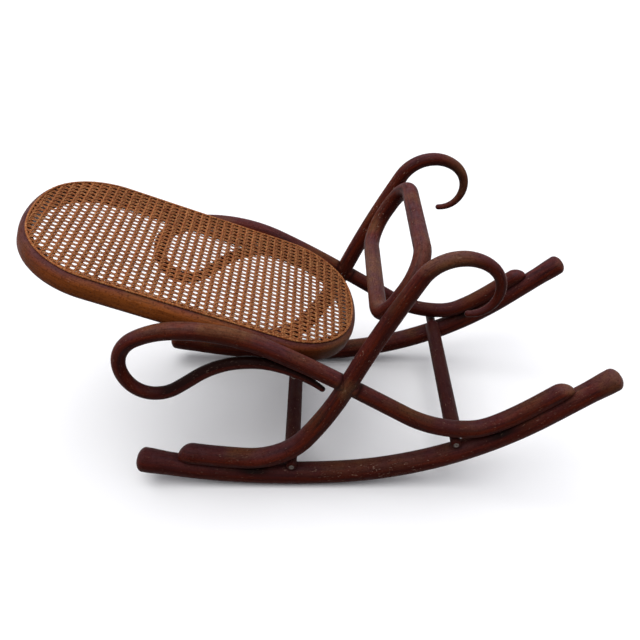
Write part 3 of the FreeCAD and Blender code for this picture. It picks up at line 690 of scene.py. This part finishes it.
def rusted_steel(colours):
    """Iron wood screws."""
    # Bare metal where the driver has rubbed the head, and matt brown where it has rusted.
    material, tree = material_tree("rusted steel")
    position = add_node(tree, COORDINATES, out="Object")
    rust = add_node(tree, NOISE, {"Vector": position, "Scale": 600.0, "Detail": 3.0})
    base = add_node(tree, MIX, {
        0: add_node(tree, RANGE, (rust, 0.4, 0.65)), 6: colours.steel, 7: colours.rust},
        2, data_type="RGBA")
    shader = add_node(tree, SHADER, {
        "Base Color": base, "Metallic": add_node(tree, RANGE, (rust, 0.4, 0.65, 0.9, 0.2)),
        "Roughness": add_node(tree, RANGE, (rust, 0.3, 0.7, 0.4, 0.75))})
    add_node(tree, SURFACE, [shader])
    return material


def seen(tree):
    """One for a ray that shows the background: straight, mirrored or through glass."""
    path = add_node(tree, "ShaderNodeLightPath").node.outputs
    mirrored = add_node(tree, MATH, (
        path["Is Glossy Ray"], path["Is Transmission Ray"]), operation="MAXIMUM")
    return add_node(tree, MATH, (path["Is Camera Ray"], mirrored), operation="MAXIMUM")


def white_paper(colours):
    """Matt paper that the stool stands on."""
    # White where it is looked at, and greyer for the light that it throws back.
    material, tree = material_tree("white paper")
    base = add_node(tree, MIX, {0: seen(tree), 6: colours.floor_bounce, 7: colours.floor},
                    2, data_type="RGBA")
    shader = add_node(tree, SHADER, {
        "Base Color": base, "Roughness": 0.9, "Specular IOR Level": 0.0})
    add_node(tree, SURFACE, [shader])
    return material


MAKERS = {"stained beech": stained_beech, "split rattan": split_rattan,
          "rusted steel": rusted_steel, "white paper": white_paper}


def material_named(name):
    """The material of that name, made once."""
    return bpy.data.materials.get(name) or MAKERS[name](bpy.context.scene.stool_colours)


# Geometry trees of the seat and the screws

def flat_strand(tree, curve, width, thickness):
    """A flattened six-sided strand along a curve, lying level."""
    level = add_node(tree, "GeometryNodeSetCurveNormal", {"Curve": curve}, mode="Z_UP")
    ring = add_node(tree, "GeometryNodeCurvePrimitiveCircle", {"Resolution": 6, "Radius": 0.5})
    section = add_node(tree, TRANSFORM, {
        "Geometry": ring, "Scale": add_node(tree, COMBINE, (width, thickness, 1.0))})
    return add_node(tree, "GeometryNodeCurveToMesh", {
        "Curve": level, "Profile Curve": section, "Fill Caps": True})


def toned(tree, geometry, domain, seed):
    """Give each strand a tone of its own."""
    chance = add_node(tree, "FunctionNodeRandomValue", {"Seed": seed}, 1, data_type="FLOAT")
    return add_node(tree, "GeometryNodeStoreNamedAttribute", {
        "Geometry": geometry, "Name": "tone", "Value": chance}, data_type="FLOAT", domain=domain)


def woven_strands(material):
    """Split strands along straight lines, waved over and under the pairs that they cross."""
    tree, given = growth("cane strands", {
        "Width": "Float", "Thickness": "Float", "Step": "Float", "Wave": "Float",
        "Phase": "Float", "Sway": "Float", "Slack": "Float", "Seed": "Int"})
    lines = add_node(tree, "GeometryNodeMeshToCurve", [given["Geometry"]])
    dotted = add_node(tree, "GeometryNodeResampleCurve", {
        "Curve": toned(tree, lines, "CURVE", given["Seed"]), "Length": given["Step"]},
        mode="LENGTH")
    position = add_node(tree, "GeometryNodeInputPosition")
    turns = add_node(tree, MATH, (
        add_node(tree, SEPARATE, [position]), given["Wave"]), operation="DIVIDE")
    angle = add_node(tree, MATH, (turns, 2 * math.pi, given["Phase"]), operation="MULTIPLY_ADD")
    lift = add_node(tree, MATH, (
        add_node(tree, MATH, [angle], operation="COSINE"), given["Sway"]), operation="MULTIPLY")
    # Strands wander sideways over about 30 mm
    wander = add_node(tree, VECTOR, (
        add_node(tree, NOISE, {"Scale": 34.0, "Detail": 1.0}, "Color"), (0.5, 0.5, 0.5)),
        operation="SUBTRACT")
    aside = add_node(tree, VECTOR, (
        wander, add_node(tree, COMBINE, (given["Slack"], given["Slack"], 0.0))),
        operation="MULTIPLY")
    woven = add_node(tree, MOVE, {"Geometry": dotted, "Offset": add_node(
        tree, VECTOR, (aside, add_node(tree, COMBINE, (0.0, 0.0, lift))), operation="ADD")})
    finish_growth(tree, flat_strand(tree, woven, given["Width"], given["Thickness"]), material)
    return tree


def bound_edge(material):
    """A flat strip along a line of holes, with a loop of cane at each hole."""
    tree, given = growth("cane edge", {
        "Width": "Float", "Thickness": "Float", "Loop pitch": "Float", "Loop width": "Float",
        "Loop length": "Float", "Seed": "Int"})
    strip = flat_strand(tree, given["Geometry"], given["Width"], given["Thickness"])
    spots = add_node(tree, "GeometryNodeCurveToPoints", {
        "Curve": given["Geometry"], "Length": given["Loop pitch"]}, mode="LENGTH")
    bead = add_node(tree, "GeometryNodeMeshUVSphere", {"Segments": 8, "Rings": 5, "Radius": 0.5})
    height = add_node(tree, MATH, (given["Thickness"], 1.1), operation="MULTIPLY")
    loops = add_node(tree, INSTANCES, {
        "Points": spots, "Instance": bead,
        "Rotation": add_node(tree, "FunctionNodeAlignRotationToVector", {
            "Vector": spots.node.outputs["Tangent"]}, axis="X"),
        "Scale": add_node(tree, COMBINE, (given["Loop width"], given["Loop length"], height))})
    both = add_node(tree, "GeometryNodeJoinGeometry")
    pale = add_node(tree, "GeometryNodeStoreNamedAttribute", {
        "Geometry": strip, "Name": "tone", "Value": 1.0}, data_type="FLOAT", domain="POINT")
    for part in (pale, toned(tree, loops, "INSTANCE", given["Seed"])):
        tree.links.new(part, both.node.inputs[0])
    finish_growth(tree, both, material)
    return tree


def screw_heads(material):
    """A slotted head at each point, facing along the point's axis."""
    tree, given = growth("screw heads", {"Diameter": "Float", "Height": "Float"})
    head = add_node(tree, "GeometryNodeMeshCylinder", {
        "Vertices": 16, "Depth": given["Height"],
        "Radius": add_node(tree, MATH, (given["Diameter"], 0.5), operation="MULTIPLY")})
    slot = add_node(tree, "GeometryNodeMeshCube", [add_node(tree, COMBINE, (
        add_node(tree, MATH, (given["Diameter"], 1.2), operation="MULTIPLY"),
        add_node(tree, MATH, (given["Diameter"], 0.14), operation="MULTIPLY"), given["Height"]))])
    rise = add_node(tree, MATH, (given["Height"], 0.6), operation="MULTIPLY")
    raised = add_node(tree, TRANSFORM, {
        "Geometry": slot, "Translation": add_node(tree, COMBINE, (0.0, 0.0, rise))})
    cut = add_node(tree, "GeometryNodeMeshBoolean", {"Mesh 1": head, "Mesh 2": raised},
                   operation="DIFFERENCE")
    axis = add_node(tree, "GeometryNodeInputNamedAttribute", {"Name": "axis"},
                    data_type="FLOAT_VECTOR")
    turn = add_node(tree, "FunctionNodeAlignRotationToVector", {"Vector": axis}, axis="Z")
    heads = add_node(tree, INSTANCES, {
        "Points": given["Geometry"], "Instance": cut, "Rotation": turn})
    finish_growth(tree, heads, material, False)
    return tree


# Sizes and colours that a user may change

def length(name, description, default, low, high):
    """A length in metres."""
    return bpy.props.FloatProperty(
        name=name, description=description, default=default, min=low, max=high, unit="LENGTH")


def colour(name, description, shade):
    """A colour whose default is given as sRGB hex."""
    return bpy.props.FloatVectorProperty(
        name=name, description=description, subtype="COLOR", size=4, min=0, max=1,
        default=linear(shade))


class StoolSizes(bpy.types.PropertyGroup):
    pitch_along: length(
        "Hole pitch along", "Distance between holes of the weave along the seat",
        0.0142, 0.008, 0.03)
    pitch_across: length(
        "Hole pitch across", "Distance between holes of the weave across the seat",
        0.0113, 0.008, 0.03)
    strand_width: length("Strand width", "Width of a split cane strand", 0.003, 0.001, 0.005)
    strand_thickness: length(
        "Strand thickness", "Thickness of a split cane strand", 0.0006, 0.0003, 0.0015)
    pair_gap: length(
        "Pair spacing", "Distance between the two lengthwise strands of a pair",
        0.0032, 0.001, 0.006)
    cross_gap: length(
        "Cross pair spacing", "Distance between the two crosswise strands of a pair",
        0.0038, 0.001, 0.006)
    screw_diameter: length("Screw head", "Diameter of a screw head", 0.009, 0.004, 0.015)


class StoolColours(bpy.types.PropertyGroup):
    # Also the painted shade on down-facing sides and on shade-marked places
    stain_dark_and_shade: colour("Dark stain", "Stain in the grain and the crazing", "#260604")
    # Painted shadow, near black, in the crooks, inside the loops, beside the crossings and under
    # the cane
    painted_shadow: colour("Grime", "Old dirt in the crooks and inside the loops", "#0a0403")
    stain_red: colour("Red stain", "Stain between the grain", "#63220f")
    stain_worn: colour("Worn stain", "Stain where the varnish has thinned", "#775238")
    # Faded stain that also stands in for a painted sheen on upper sides
    stain_faded_and_sheen: colour("Faded stain", "Stain on upper sides that light has faded", "#58393f")
    amber: colour("Amber wear", "Wood where the stain is rubbed through", "#b4632a")
    scuff: colour("Scuffs", "Pale specks where the finish is chipped", "#bfa08c")
    cane_dark: colour("Dark cane", "Darkest strands and the dirt between them", "#5c2c18")
    cane_light: colour("Light cane", "Palest strands", "#a0592f")
    # Paler fibres that also stand in for a painted sheen on the cane
    cane_gold_and_sheen: colour("Cane fibres", "Fibres that have kept their golden colour", "#c08a58")
    steel: colour("Screw steel", "Bare metal of a screw head", "#6a645e")
    rust: colour("Screw rust", "Rust on a screw head", "#3a2219")
    floor: colour("Floor", "Paper as it is seen", "#fafafa")
    floor_bounce: colour("Floor bounce", "Paper as it throws light back on the stool", "#3c3734")


def rod_flat(member, lift, run):
    """Distance from a foot's centre-line to the seat that it is planed to fit."""
    def flat(s):
        if s > lift + run:
            return None
        return rocker_distance(member, s) - SEAT_LEVEL - size("fit_gap")
    return flat


def rocker_flat(s):
    margin = size("seat_margin")
    seats = (
        (size("upright_foot_start") - margin, size("upright_foot_end") + UPRIGHT_RUN),
        (size("arm_foot_end") - ARM_RUN, size("arm_foot_start") + margin))
    return SEAT_LEVEL if any(low < s < high for low, high in seats) else None


SIDES = (("left", -1), ("right", 1))
RAILS = ("front_stretcher", "rear_stretcher")


# Painted shade and shadow and amber wear: shares from a place in the unbent billet, in millimetres
CROOK_REACH = 60.0
# Painted shade on each rocker, the near one darker than the far one
ROCKER_PAINTED_SHADE = (0.55, 0.2)
# Painted shade on the rails under the seat, and painted shadow on the ring's top under the cane
RAIL_PAINTED_SHADE, COVERED_PAINTED_SHADOW = 0.78, 0.85
# Middle and reach along the ring of the places where it is held, and their share of amber
HELD_PLACES = ((340, 190, 1.0), (650, 80, 0.5))
AMBER_DEPTH = 9.0


def ramp(value, low, high):
    return min(max((value - low) / (high - low), 0.0), 1.0)


def bell(value, reach):
    return math.exp(-(value / reach) ** 2)


def rocker_shade(s, n, most):
    """Painted shadow in the crooks under the feet, and painted shade paling towards the rear end.
    """
    crooks = (size("upright_foot_end") + UPRIGHT_RUN / 2, size("arm_foot_end") - ARM_RUN / 2)
    # Painted shadow in the crooks where the feet leave the rocker
    crook_shadow = max(bell(s - crook, CROOK_REACH) for crook in crooks) * ramp(n, 0, 12)
    middle = ROCKER.length / 2
    return max(crook_shadow, most - (0.1 if s < middle else 0.5) * abs(s - middle) / middle)


def upright_shade(s, n):
    """Painted shade all along the foot, and painted shadow under it where it leaves the rocker."""
    crook = bell(s - UPRIGHT_LIFT - UPRIGHT_RUN / 2, CROOK_REACH) * ramp(-n, 0, 10)
    return max(crook, 0.4 * ramp(s, UPRIGHT_LIFT + 80, UPRIGHT_LIFT))


def arm_shade(s, n):
    """Painted shade on the foot and inside the loop, painted shadow in the crook and by the
    upright.
    """
    foot = 0.5 - abs(s - ARM_CROSS / 2) / ARM_CROSS
    crook = bell(s - ARM_LIFT - ARM_RUN / 2, CROOK_REACH) * ramp(n, 0, 10)
    # Painted shadow beside the upright where it crosses the arm
    seam = 0.9 * bell(abs(s - ARM_CROSS) - size("upright_cross_diameter") / 2 - 2, 5)
    # Painted shade all round the inside of the loop
    loop = 0.95 * ramp(s, ARM_LOOP, ARM_LOOP + 110) * ramp(n, -2, 3)
    return max(foot, crook, seam, loop)


def ring_amber(s, n, b):
    """Share of amber on the ring's outer side, most where the near edge is held."""
    s -= BILLET["ring"]
    held = max(share * bell(s - middle, reach) for middle, reach, share in HELD_PLACES)
    return held * ramp(n, AMBER_DEPTH, 0.0)


def wooden(mesh, node):
    """Link a finished rod in the place of its solid."""
    piece = link(mesh.name, mesh, material_named("stained beech"))
    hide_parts(node)


def bend_pair(kind, path, taper, rounds, toward, flat, shades, toe=0.0, cross=None):
    """Make a rod for each side frame, halved where another rod crosses it."""
    for number, (label, side) in enumerate(SIDES):
        start = BILLET[kind] + TWIN_SHIFT * number
        lap, near = None, []
        if cross:
            middle, place, radius, way = cross
            lap = (*place, radius, way * side)
            near = [(middle - LAP_REACH * radius, middle + LAP_REACH * radius, LAP_STEP)]
        mesh = rod_mesh(f"{kind}_{label}_bent", path, taper, rounds, toward, flat,
                        side_plane(side), start, toe, lap, near)
        marked(mesh, "shade", lambda s, n, b: shades[number](s - start, n))
        wooden(mesh, f"{kind}_{label}")


class STOOL_OT_rockers(bpy.types.Operator):
    """Make the two bowed rockers with their club ends"""
    bl_idname = "stool.rockers"
    bl_label = "Rockers"

    def execute(self, context):
        # Painted shade, darker on the near rocker than on the far one
        shades = [lambda s, n, most=most: rocker_shade(s, n, most) for most in ROCKER_PAINTED_SHADE]
        bend_pair("rocker", ROCKER, ROCKER_TAPER, (size("rocker_end_round"),) * 2, 1, rocker_flat,
                  shades)
        return {"FINISHED"}


class STOOL_OT_uprights(bpy.types.Operator):
    """Make the two uprights, planed at the foot, halved over the arm and scrolled at the top"""
    bl_idname = "stool.uprights"
    bl_label = "Scrolled uprights"

    def execute(self, context):
        radius = size("arm_cross_diameter") / 2 + size("lap_gap")
        bend_pair("scroll_upright", UPRIGHT, UPRIGHT_TAPER,
                  (size("foot_end_round"), size("upright_tip_diameter") / 2), -1,
                  rod_flat(UPRIGHT, UPRIGHT_LIFT, UPRIGHT_RUN), [upright_shade] * 2,
                  size("foot_toe_share"), (UPRIGHT_CROSS, ARM.at(ARM_CROSS), radius, -1))
        return {"FINISHED"}


class STOOL_OT_arms(bpy.types.Operator):
    """Make the two arms, planed at the foot, halved under the upright and looped at the front"""
    bl_idname = "stool.arms"
    bl_label = "Looped arms"

    def execute(self, context):
        radius = size("upright_cross_diameter") / 2 + size("lap_gap")
        bend_pair("loop_arm", ARM, ARM_TAPER,
                  (size("foot_end_round"), size("arm_tip_diameter") / 2), 1,
                  rod_flat(ARM, ARM_LIFT, ARM_RUN), [arm_shade] * 2,
                  size("foot_toe_share"), (ARM_CROSS, UPRIGHT.at(UPRIGHT_CROSS), radius, 1))
        return {"FINISHED"}


def ring_section():
    """Section of the ring, inward from its outer edge and up from its top."""
    width, depth = RING_INNER, size("ring_depth")
    top, under, inner = size("ring_top_round"), size("ring_under_round"), size("ring_inner_round")
    points = []
    for x, y, radius, first, last in (
            (top, -top, top, 180, 90), (width - RING_EDGE, -RING_EDGE, RING_EDGE, 90, 0),
            (width - inner, inner - depth, inner, 0, -90),
            (under, under - depth, under, -90, -180)):
        for i in range(CORNER_STEPS + 1):
            angle = math.radians(first + (last - first) * i / CORNER_STEPS)
            points.append((x + radius * math.cos(angle), y + radius * math.sin(angle)))
    return points


class STOOL_OT_ring(bpy.types.Operator):
    """Make the closed seat ring, with its grain running round and meeting at the high end"""
    bl_idname = "stool.ring"
    bl_label = "Seat ring"

    def execute(self, context):
        points = ring_section()
        places = spaced(0.0, RING.length, STEP)[:-1]
        mesh = swept("seat_ring_bent", RING, places, lambda s: points, seat_plane(), True,
                     BILLET["ring"])
        covered = size("cane_margin") + size("binder_width") / 2
        # Painted shadow on the ring's top where the cane covers it
        marked(mesh, "shade", lambda s, n, b: COVERED_PAINTED_SHADOW if n > covered else 0.0)
        marked(mesh, "amber", ring_amber)
        wooden(mesh, "seat_ring")
        return {"FINISHED"}


# Weave, in metres: levels of the strands above the ring, sway of the slants, slack sideways
LENGTHWISE_LEVELS, CROSSWISE_LEVELS = (0.00085, 0.00095), (0.0003, 0.00145)
SLANT_LEVEL, SLANT_SWAY, SLACK = 0.00105, 0.0008, 0.0012
STRAIGHT_STEP, SLANT_STEPS = 0.02, 5
# Loops of cane in metres, the share by which they pass the binder, and inward and down in mm
BINDER_LOOP, BINDER_LOOP_SHARE = 0.0032, 1.25
UNDER_LOOP, UNDER_THICKNESS, UNDER_INWARD, UNDER_DROP = 0.0045, 0.0008, 3.0, 0.3


def strand_lines(outline, heading, offsets, levels):
    """Straight lines across a convex outline, each at its offset from the middle and its level."""
    along = Vector((math.cos(heading), math.sin(heading)))
    side = Vector((-along.y, along.x))
    points, lines = [], []
    for offset, level in zip(offsets, levels):
        ends = []
        for first, last in zip(outline, outline[1:] + outline[:1]):
            a, b = first.dot(side) - offset, last.dot(side) - offset
            if (a < 0) != (b < 0):
                ends.append(first.lerp(last, a / (a - b)))
        if len(ends) == 2:
            lines.append((len(points), len(points) + 1))
            points += [(end.x, end.y, level) for end in sorted(ends, key=along.dot)]
    mesh = bpy.data.meshes.new("strand lines")
    mesh.from_pydata(points, lines, [])
    return mesh


def pair_offsets(count, pitch, gap):
    """Offsets of both strands of each pair, evenly about the middle."""
    middles = [(i - (count - 1) / 2) * pitch for i in range(count)]
    return [middle + half for middle in middles for half in (-gap / 2, gap / 2)]


def edge_route(inset, level):
    """A closed curve that follows the ring at an inset from its outer edge and a level, in mm."""
    line = RING.offset(0.0, RING.length, inset)
    route = bpy.data.curves.new("edge route", "CURVE")
    route.dimensions = "3D"
    spline = route.splines.new("POLY")
    places = spaced(0.0, line.length, STEP)[:-1]
    spline.points.add(len(places) - 1)
    for point, s in zip(spline.points, places):
        x, y, _ = line.at(s)
        point.co = (x * MM, y * MM, level * MM, 1.0)
    spline.use_cyclic_u = True
    return route


class STOOL_OT_cane(bpy.types.Operator):
    """Weave the six-way cane seat, bind its edge and close its loops under the ring"""
    bl_idname = "stool.cane"
    bl_label = "Cane seat"

    def execute(self, context):
        sizes = context.scene.stool_sizes
        material = material_named("split rattan")
        inset = size("cane_margin") + size("binder_width") / 2
        centre = (size("ring_rear_length") - size("ring_front_length")) / 2
        line = RING.offset(0.0, RING.length, inset)
        outline = [MM * (Vector(line.at(s)[:2]) - Vector((centre, 0)))
                   for s in spaced(0.0, line.length, STEP)[:-1]]
        columns = int(2 * max(point.x for point in outline) / sizes.pitch_along)
        rows = int(2 * max(point.y for point in outline) / sizes.pitch_across)
        tree = woven_strands(material)
        plane = seat_plane() @ Matrix.Translation((centre, 0, 0))
        strand = {"Width": sizes.strand_width, "Thickness": sizes.strand_thickness,
                  "Slack": SLACK, "Wave": sizes.pitch_along}
        straight = {**strand, "Step": STRAIGHT_STEP}

        lengthwise = pair_offsets(rows, sizes.pitch_across, sizes.pair_gap)
        lines = strand_lines(outline, 0.0, lengthwise, LENGTHWISE_LEVELS * rows)
        piece = grown("cane_lengthwise", lines, tree, {**straight, "Seed": 1}, plane)
        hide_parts("cane_panel")
        crosswise = pair_offsets(columns, sizes.pitch_along, sizes.cross_gap)
        lines = strand_lines(outline, math.pi / 2, crosswise, CROSSWISE_LEVELS * columns)
        grown("cane_crosswise", lines, tree, {**straight, "Seed": 2}, plane)
        for seed, name, way in ((3, "cane_slant_left", 1), (4, "cane_slant_right", -1)):
            heading = math.atan2(way * sizes.pitch_across, sizes.pitch_along)
            start = 0.5 - (rows - 1) / 2 + way * (columns - 1) / 2
            offsets = [(k + start) * sizes.pitch_across * math.cos(heading)
                       for k in range(-columns - rows, columns + rows)]
            phase = math.pi * (columns - 1) + (math.pi if way < 0 else 0.0)
            lines = strand_lines(outline, heading, offsets, [SLANT_LEVEL] * len(offsets))
            grown(name, lines, tree, {
                **strand, "Step": sizes.pitch_along / SLANT_STEPS, "Phase": phase,
                "Sway": SLANT_SWAY, "Seed": seed}, plane)

        edge = bound_edge(material)
        height = size("cane_thickness") + size("binder_thickness")
        piece = grown("cane_binder_strip", edge_route(inset, height / 2), edge, {
            "Width": size("binder_width") * MM, "Thickness": height * MM,
            "Loop pitch": sizes.pitch_along, "Loop width": BINDER_LOOP,
            "Loop length": size("binder_width") * BINDER_LOOP_SHARE * MM, "Seed": 5},
            seat_plane())
        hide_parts("cane_binder")
        under = edge_route(inset + UNDER_INWARD, -size("ring_depth") - UNDER_DROP)
        grown("cane_loops_under", under, edge, {
            "Width": sizes.strand_width, "Thickness": UNDER_THICKNESS,
            "Loop pitch": sizes.pitch_along, "Loop width": UNDER_LOOP, "Loop length": UNDER_LOOP,
            "Seed": 6}, seat_plane())
        return {"FINISHED"}


def hoop_half_width():
    """Half the span of the hoop's centre-line, with its sides against the uprights."""
    corner, heading = size("hoop_corner_radius"), math.radians(size("hoop_heading"))
    s = UPRIGHT.nearest(size("hoop_low_x") + math.cos(heading) * corner,
                        size("hoop_low_z") + math.sin(heading) * corner, UPRIGHT_CROSS, UPRIGHT_TOP)
    return (size("frame_half_width") - UPRIGHT_TAPER.diameter(s) / 2 - size("fit_gap")
            - size("hoop_diameter") / 2)


class STOOL_OT_hoop(bpy.types.Operator):
    """Make the closed brace hoop between the uprights"""
    bl_idname = "stool.hoop"
    bl_label = "Brace hoop"

    def execute(self, context):
        corner, radius = size("hoop_corner_radius"), size("hoop_diameter") / 2
        half = hoop_half_width() - corner
        path = Path([Arc(0.0, 0.0, math.pi / 2, 0.0, half)])
        end = size("hoop_length") - 2 * corner
        for run in (end, 2 * half, end, half):
            path.bend(-corner, corner * math.pi / 2)
            path.bend(0, run)
        points = circle(radius, HOOP_SIDES)
        places = spaced(0.0, path.length, STEP)[:-1]
        wooden(swept("brace_hoop_bent", path, places, lambda s: points, hoop_plane(), True,
                     BILLET["hoop"]), "brace_hoop")
        return {"FINISHED"}


class STOOL_OT_stretchers(bpy.types.Operator):
    """Make the two turned cross rails with a thinner pin at each end"""
    bl_idname = "stool.stretchers"
    bl_label = "Stretchers"

    def execute(self, context):
        rail, pin = size("stretcher_diameter") / 2, size("stretcher_pin_diameter") / 2
        end = size("frame_half_width") + size("stretcher_reach")
        shoulder = size("frame_half_width") - ROCKER_RADIUS - size("stretcher_clearance")
        bevel = size("stretcher_pin_round")
        ease = bevel * 0.3
        profile = [(end, pin - bevel), (end - ease, pin - ease), (end - bevel, pin),
                   (shoulder + 0.4, pin), (shoulder, pin + 0.3), (shoulder - ease, rail - ease),
                   (shoulder - bevel, rail)]
        radii = {-y + end: r for y, r in profile} | {y + end: r for y, r in profile}
        inner = spaced(end - shoulder + bevel + 1, end + shoulder - bevel - 1, RAIL_STEP)
        radii |= {s: rail for s in inner}
        path = Path([Arc(-end, 0.0, 0.0, 0.0, 2 * end)])
        for number, node in enumerate(RAILS):
            low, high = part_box(node)
            centre = [(a + b) / 2 / MM for a, b in zip(low, high)]
            mesh = swept(f"{node}_turned", path, sorted(radii),
                         lambda s: circle(radii[s], RAIL_SIDES), rail_plane(centre[0], centre[2]),
                         shift=BILLET["rail"] + RAIL_SHIFT * number)
            # Painted shade all over each rail
            marked(mesh, "shade", lambda s, n, b: RAIL_PAINTED_SHADE)
            wooden(mesh, node)
        return {"FINISHED"}


# Screws: shares along a foot, places along the seat in millimetres, and a head's height in metres
FOOT_SCREWS, SEAT_SCREWS, SCREW_HEIGHT = (0.3, 0.75), (-215.0, -130.0), 0.0016


def screw_places():
    """Head places and outward axes, in millimetres: feet, crossings, tails, rails and seat."""
    seat, reach = seat_plane(), size("frame_half_width") + size("stretcher_reach")
    wall = (size("frame_half_width") - size("arm_crest_diameter") / 2 - size("fit_gap")
            - RING_INNER)
    feet = ((size("upright_foot_start"), size("upright_foot_end")),
            (size("arm_foot_end"), size("arm_foot_start")))
    places = []
    for _, side in SIDES:
        drawn = []
        for start, finish in feet:
            for share in FOOT_SCREWS:
                s = start + (finish - start) * share
                x, z, heading = ROCKER.at(s)
                down = (math.sin(heading), -math.cos(heading), 0)
                drawn.append((x, z, down, ROCKER_TAPER.diameter(s)))
        x, z, _ = ARM.at(ARM_CROSS)
        drawn.append((x, z, (0, 0, -side), ARM_TAPER.diameter(ARM_CROSS)))
        x, z, heading = ARM.at(ARM_CONTACT)
        under = (math.sin(heading), -math.cos(heading), 0)
        drawn.append((x, z, under, size("arm_tail_diameter")))
        plane = side_plane(side)
        for x, z, axis, diameter in drawn:
            out = Vector(axis)
            places.append((plane @ (Vector((x, z, 0)) + out * diameter / 2), plane.to_3x3() @ out))
        out = Vector((0, side, 0))
        for node in RAILS:
            middle = sum((Vector(corner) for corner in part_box(node)), Vector()) / 2 / MM
            places.append((middle + out * reach, out))
        for x in SEAT_SCREWS:
            place = seat @ Vector((x, side * wall, -size("ring_depth") * 0.5))
            places.append((place, Vector((0, -side, 0))))
    return places


class STOOL_OT_screws(bpy.types.Operator):
    """Set a screw head at each joint of the frame"""
    bl_idname = "stool.screws"
    bl_label = "Screws"

    def execute(self, context):
        places = screw_places()
        points = bpy.data.meshes.new("screw places")
        points.from_pydata([MM * place for place, _ in places], [], [])
        axes = points.attributes.new("axis", "FLOAT_VECTOR", "POINT")
        for item, (_, axis) in zip(axes.data, places):
            item.vector = axis
        diameter = context.scene.stool_sizes.screw_diameter
        grown("joint_screws", points, screw_heads(material_named("rusted steel")), {
            "Diameter": diameter, "Height": SCREW_HEIGHT})
        return {"FINISHED"}


class STOOL_OT_stage(bpy.types.Operator):
    """Set the floor, the light and the camera"""
    bl_idname = "stool.stage"
    bl_label = "Stage"

    def execute(self, context):
        scene = context.scene
        mesh = bpy.data.meshes.new("floor")
        reach = 30.0
        ways = ((-1, -1), (1, -1), (1, 1), (-1, 1))
        mesh.from_pydata([(a * reach, b * reach, 0) for a, b in ways], [], [(0, 1, 2, 3)])
        mesh.materials.append(material_named("white paper"))
        floor = bpy.data.objects.new("floor", mesh)
        floor.location.z = -0.0005
        scene.collection.objects.link(floor)

        sun = bpy.data.lights.new("soft sky light", "SUN")
        sun.energy = 2.0
        sun.angle = math.radians(60)
        lamp = bpy.data.objects.new("soft sky light", sun)
        lamp.rotation_euler = (math.radians(6), math.radians(-14), 0)
        scene.collection.objects.link(lamp)

        world = bpy.data.worlds.new("studio")
        scene.world = world
        world.use_nodes = True
        tree = world.node_tree
        tree.nodes.clear()
        height = add_node(tree, SEPARATE, [add_node(tree, COORDINATES, out="Generated")], 2)
        dome = add_node(tree, MIX, {
            0: add_node(tree, RANGE, (height, 0.1, 0.9)),
            6: linear("#2e2b2a"), 7: linear("#f0f0f6")}, 2, data_type="RGBA")
        light = add_node(tree, "ShaderNodeBackground", [add_node(tree, MIX, {
            0: seen(tree), 6: dome, 7: (1.0, 1.0, 1.0, 1.0)}, 2, data_type="RGBA"), 1.0])
        add_node(tree, "ShaderNodeOutputWorld", [light])

        camera = bpy.data.cameras.new("photo angle")
        camera.sensor_width = 36.0
        camera.lens = 40.5
        camera.dof.use_dof = False
        eye = bpy.data.objects.new("photo angle", camera)
        eye.location = (0.0059, -1.0522, 0.9797)
        eye.rotation_euler = (math.radians(90 - 35.617), 0.0, math.radians(0.333))
        scene.collection.objects.link(eye)
        scene.camera = eye
        scene.view_settings.view_transform = "Standard"
        return {"FINISHED"}


class STOOL_PT_panel(bpy.types.Panel):
    """Sizes, colours and steps of the footstool"""
    bl_idname = "STOOL_PT_panel"
    bl_label = "Bentwood footstool"
    bl_space_type = "VIEW_3D"
    bl_region_type = "UI"
    bl_category = "Footstool"

    def draw(self, context):
        layout = self.layout
        for group in (context.scene.stool_sizes, context.scene.stool_colours):
            for name in group.__annotations__:
                layout.prop(group, name)
        for step in STEPS:
            layout.operator(step.bl_idname)


STEPS = (STOOL_OT_rockers, STOOL_OT_uprights, STOOL_OT_arms, STOOL_OT_ring, STOOL_OT_cane,
         STOOL_OT_hoop, STOOL_OT_stretchers, STOOL_OT_screws, STOOL_OT_stage)
CLASSES = (StoolSizes, StoolColours, *STEPS, STOOL_PT_panel)


def register():
    for item in CLASSES:
        bpy.utils.register_class(item)
    bpy.types.Scene.stool_sizes = bpy.props.PointerProperty(type=StoolSizes)
    bpy.types.Scene.stool_colours = bpy.props.PointerProperty(type=StoolColours)


def unregister():
    del bpy.types.Scene.stool_colours
    del bpy.types.Scene.stool_sizes
    for item in reversed(CLASSES):
        bpy.utils.unregister_class(item)


def main():
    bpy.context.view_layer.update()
    register()
    for step in STEPS:
        group, name = step.bl_idname.split(".")
        getattr(getattr(bpy.ops, group), name)()


if __name__ == "__main__":
    main()
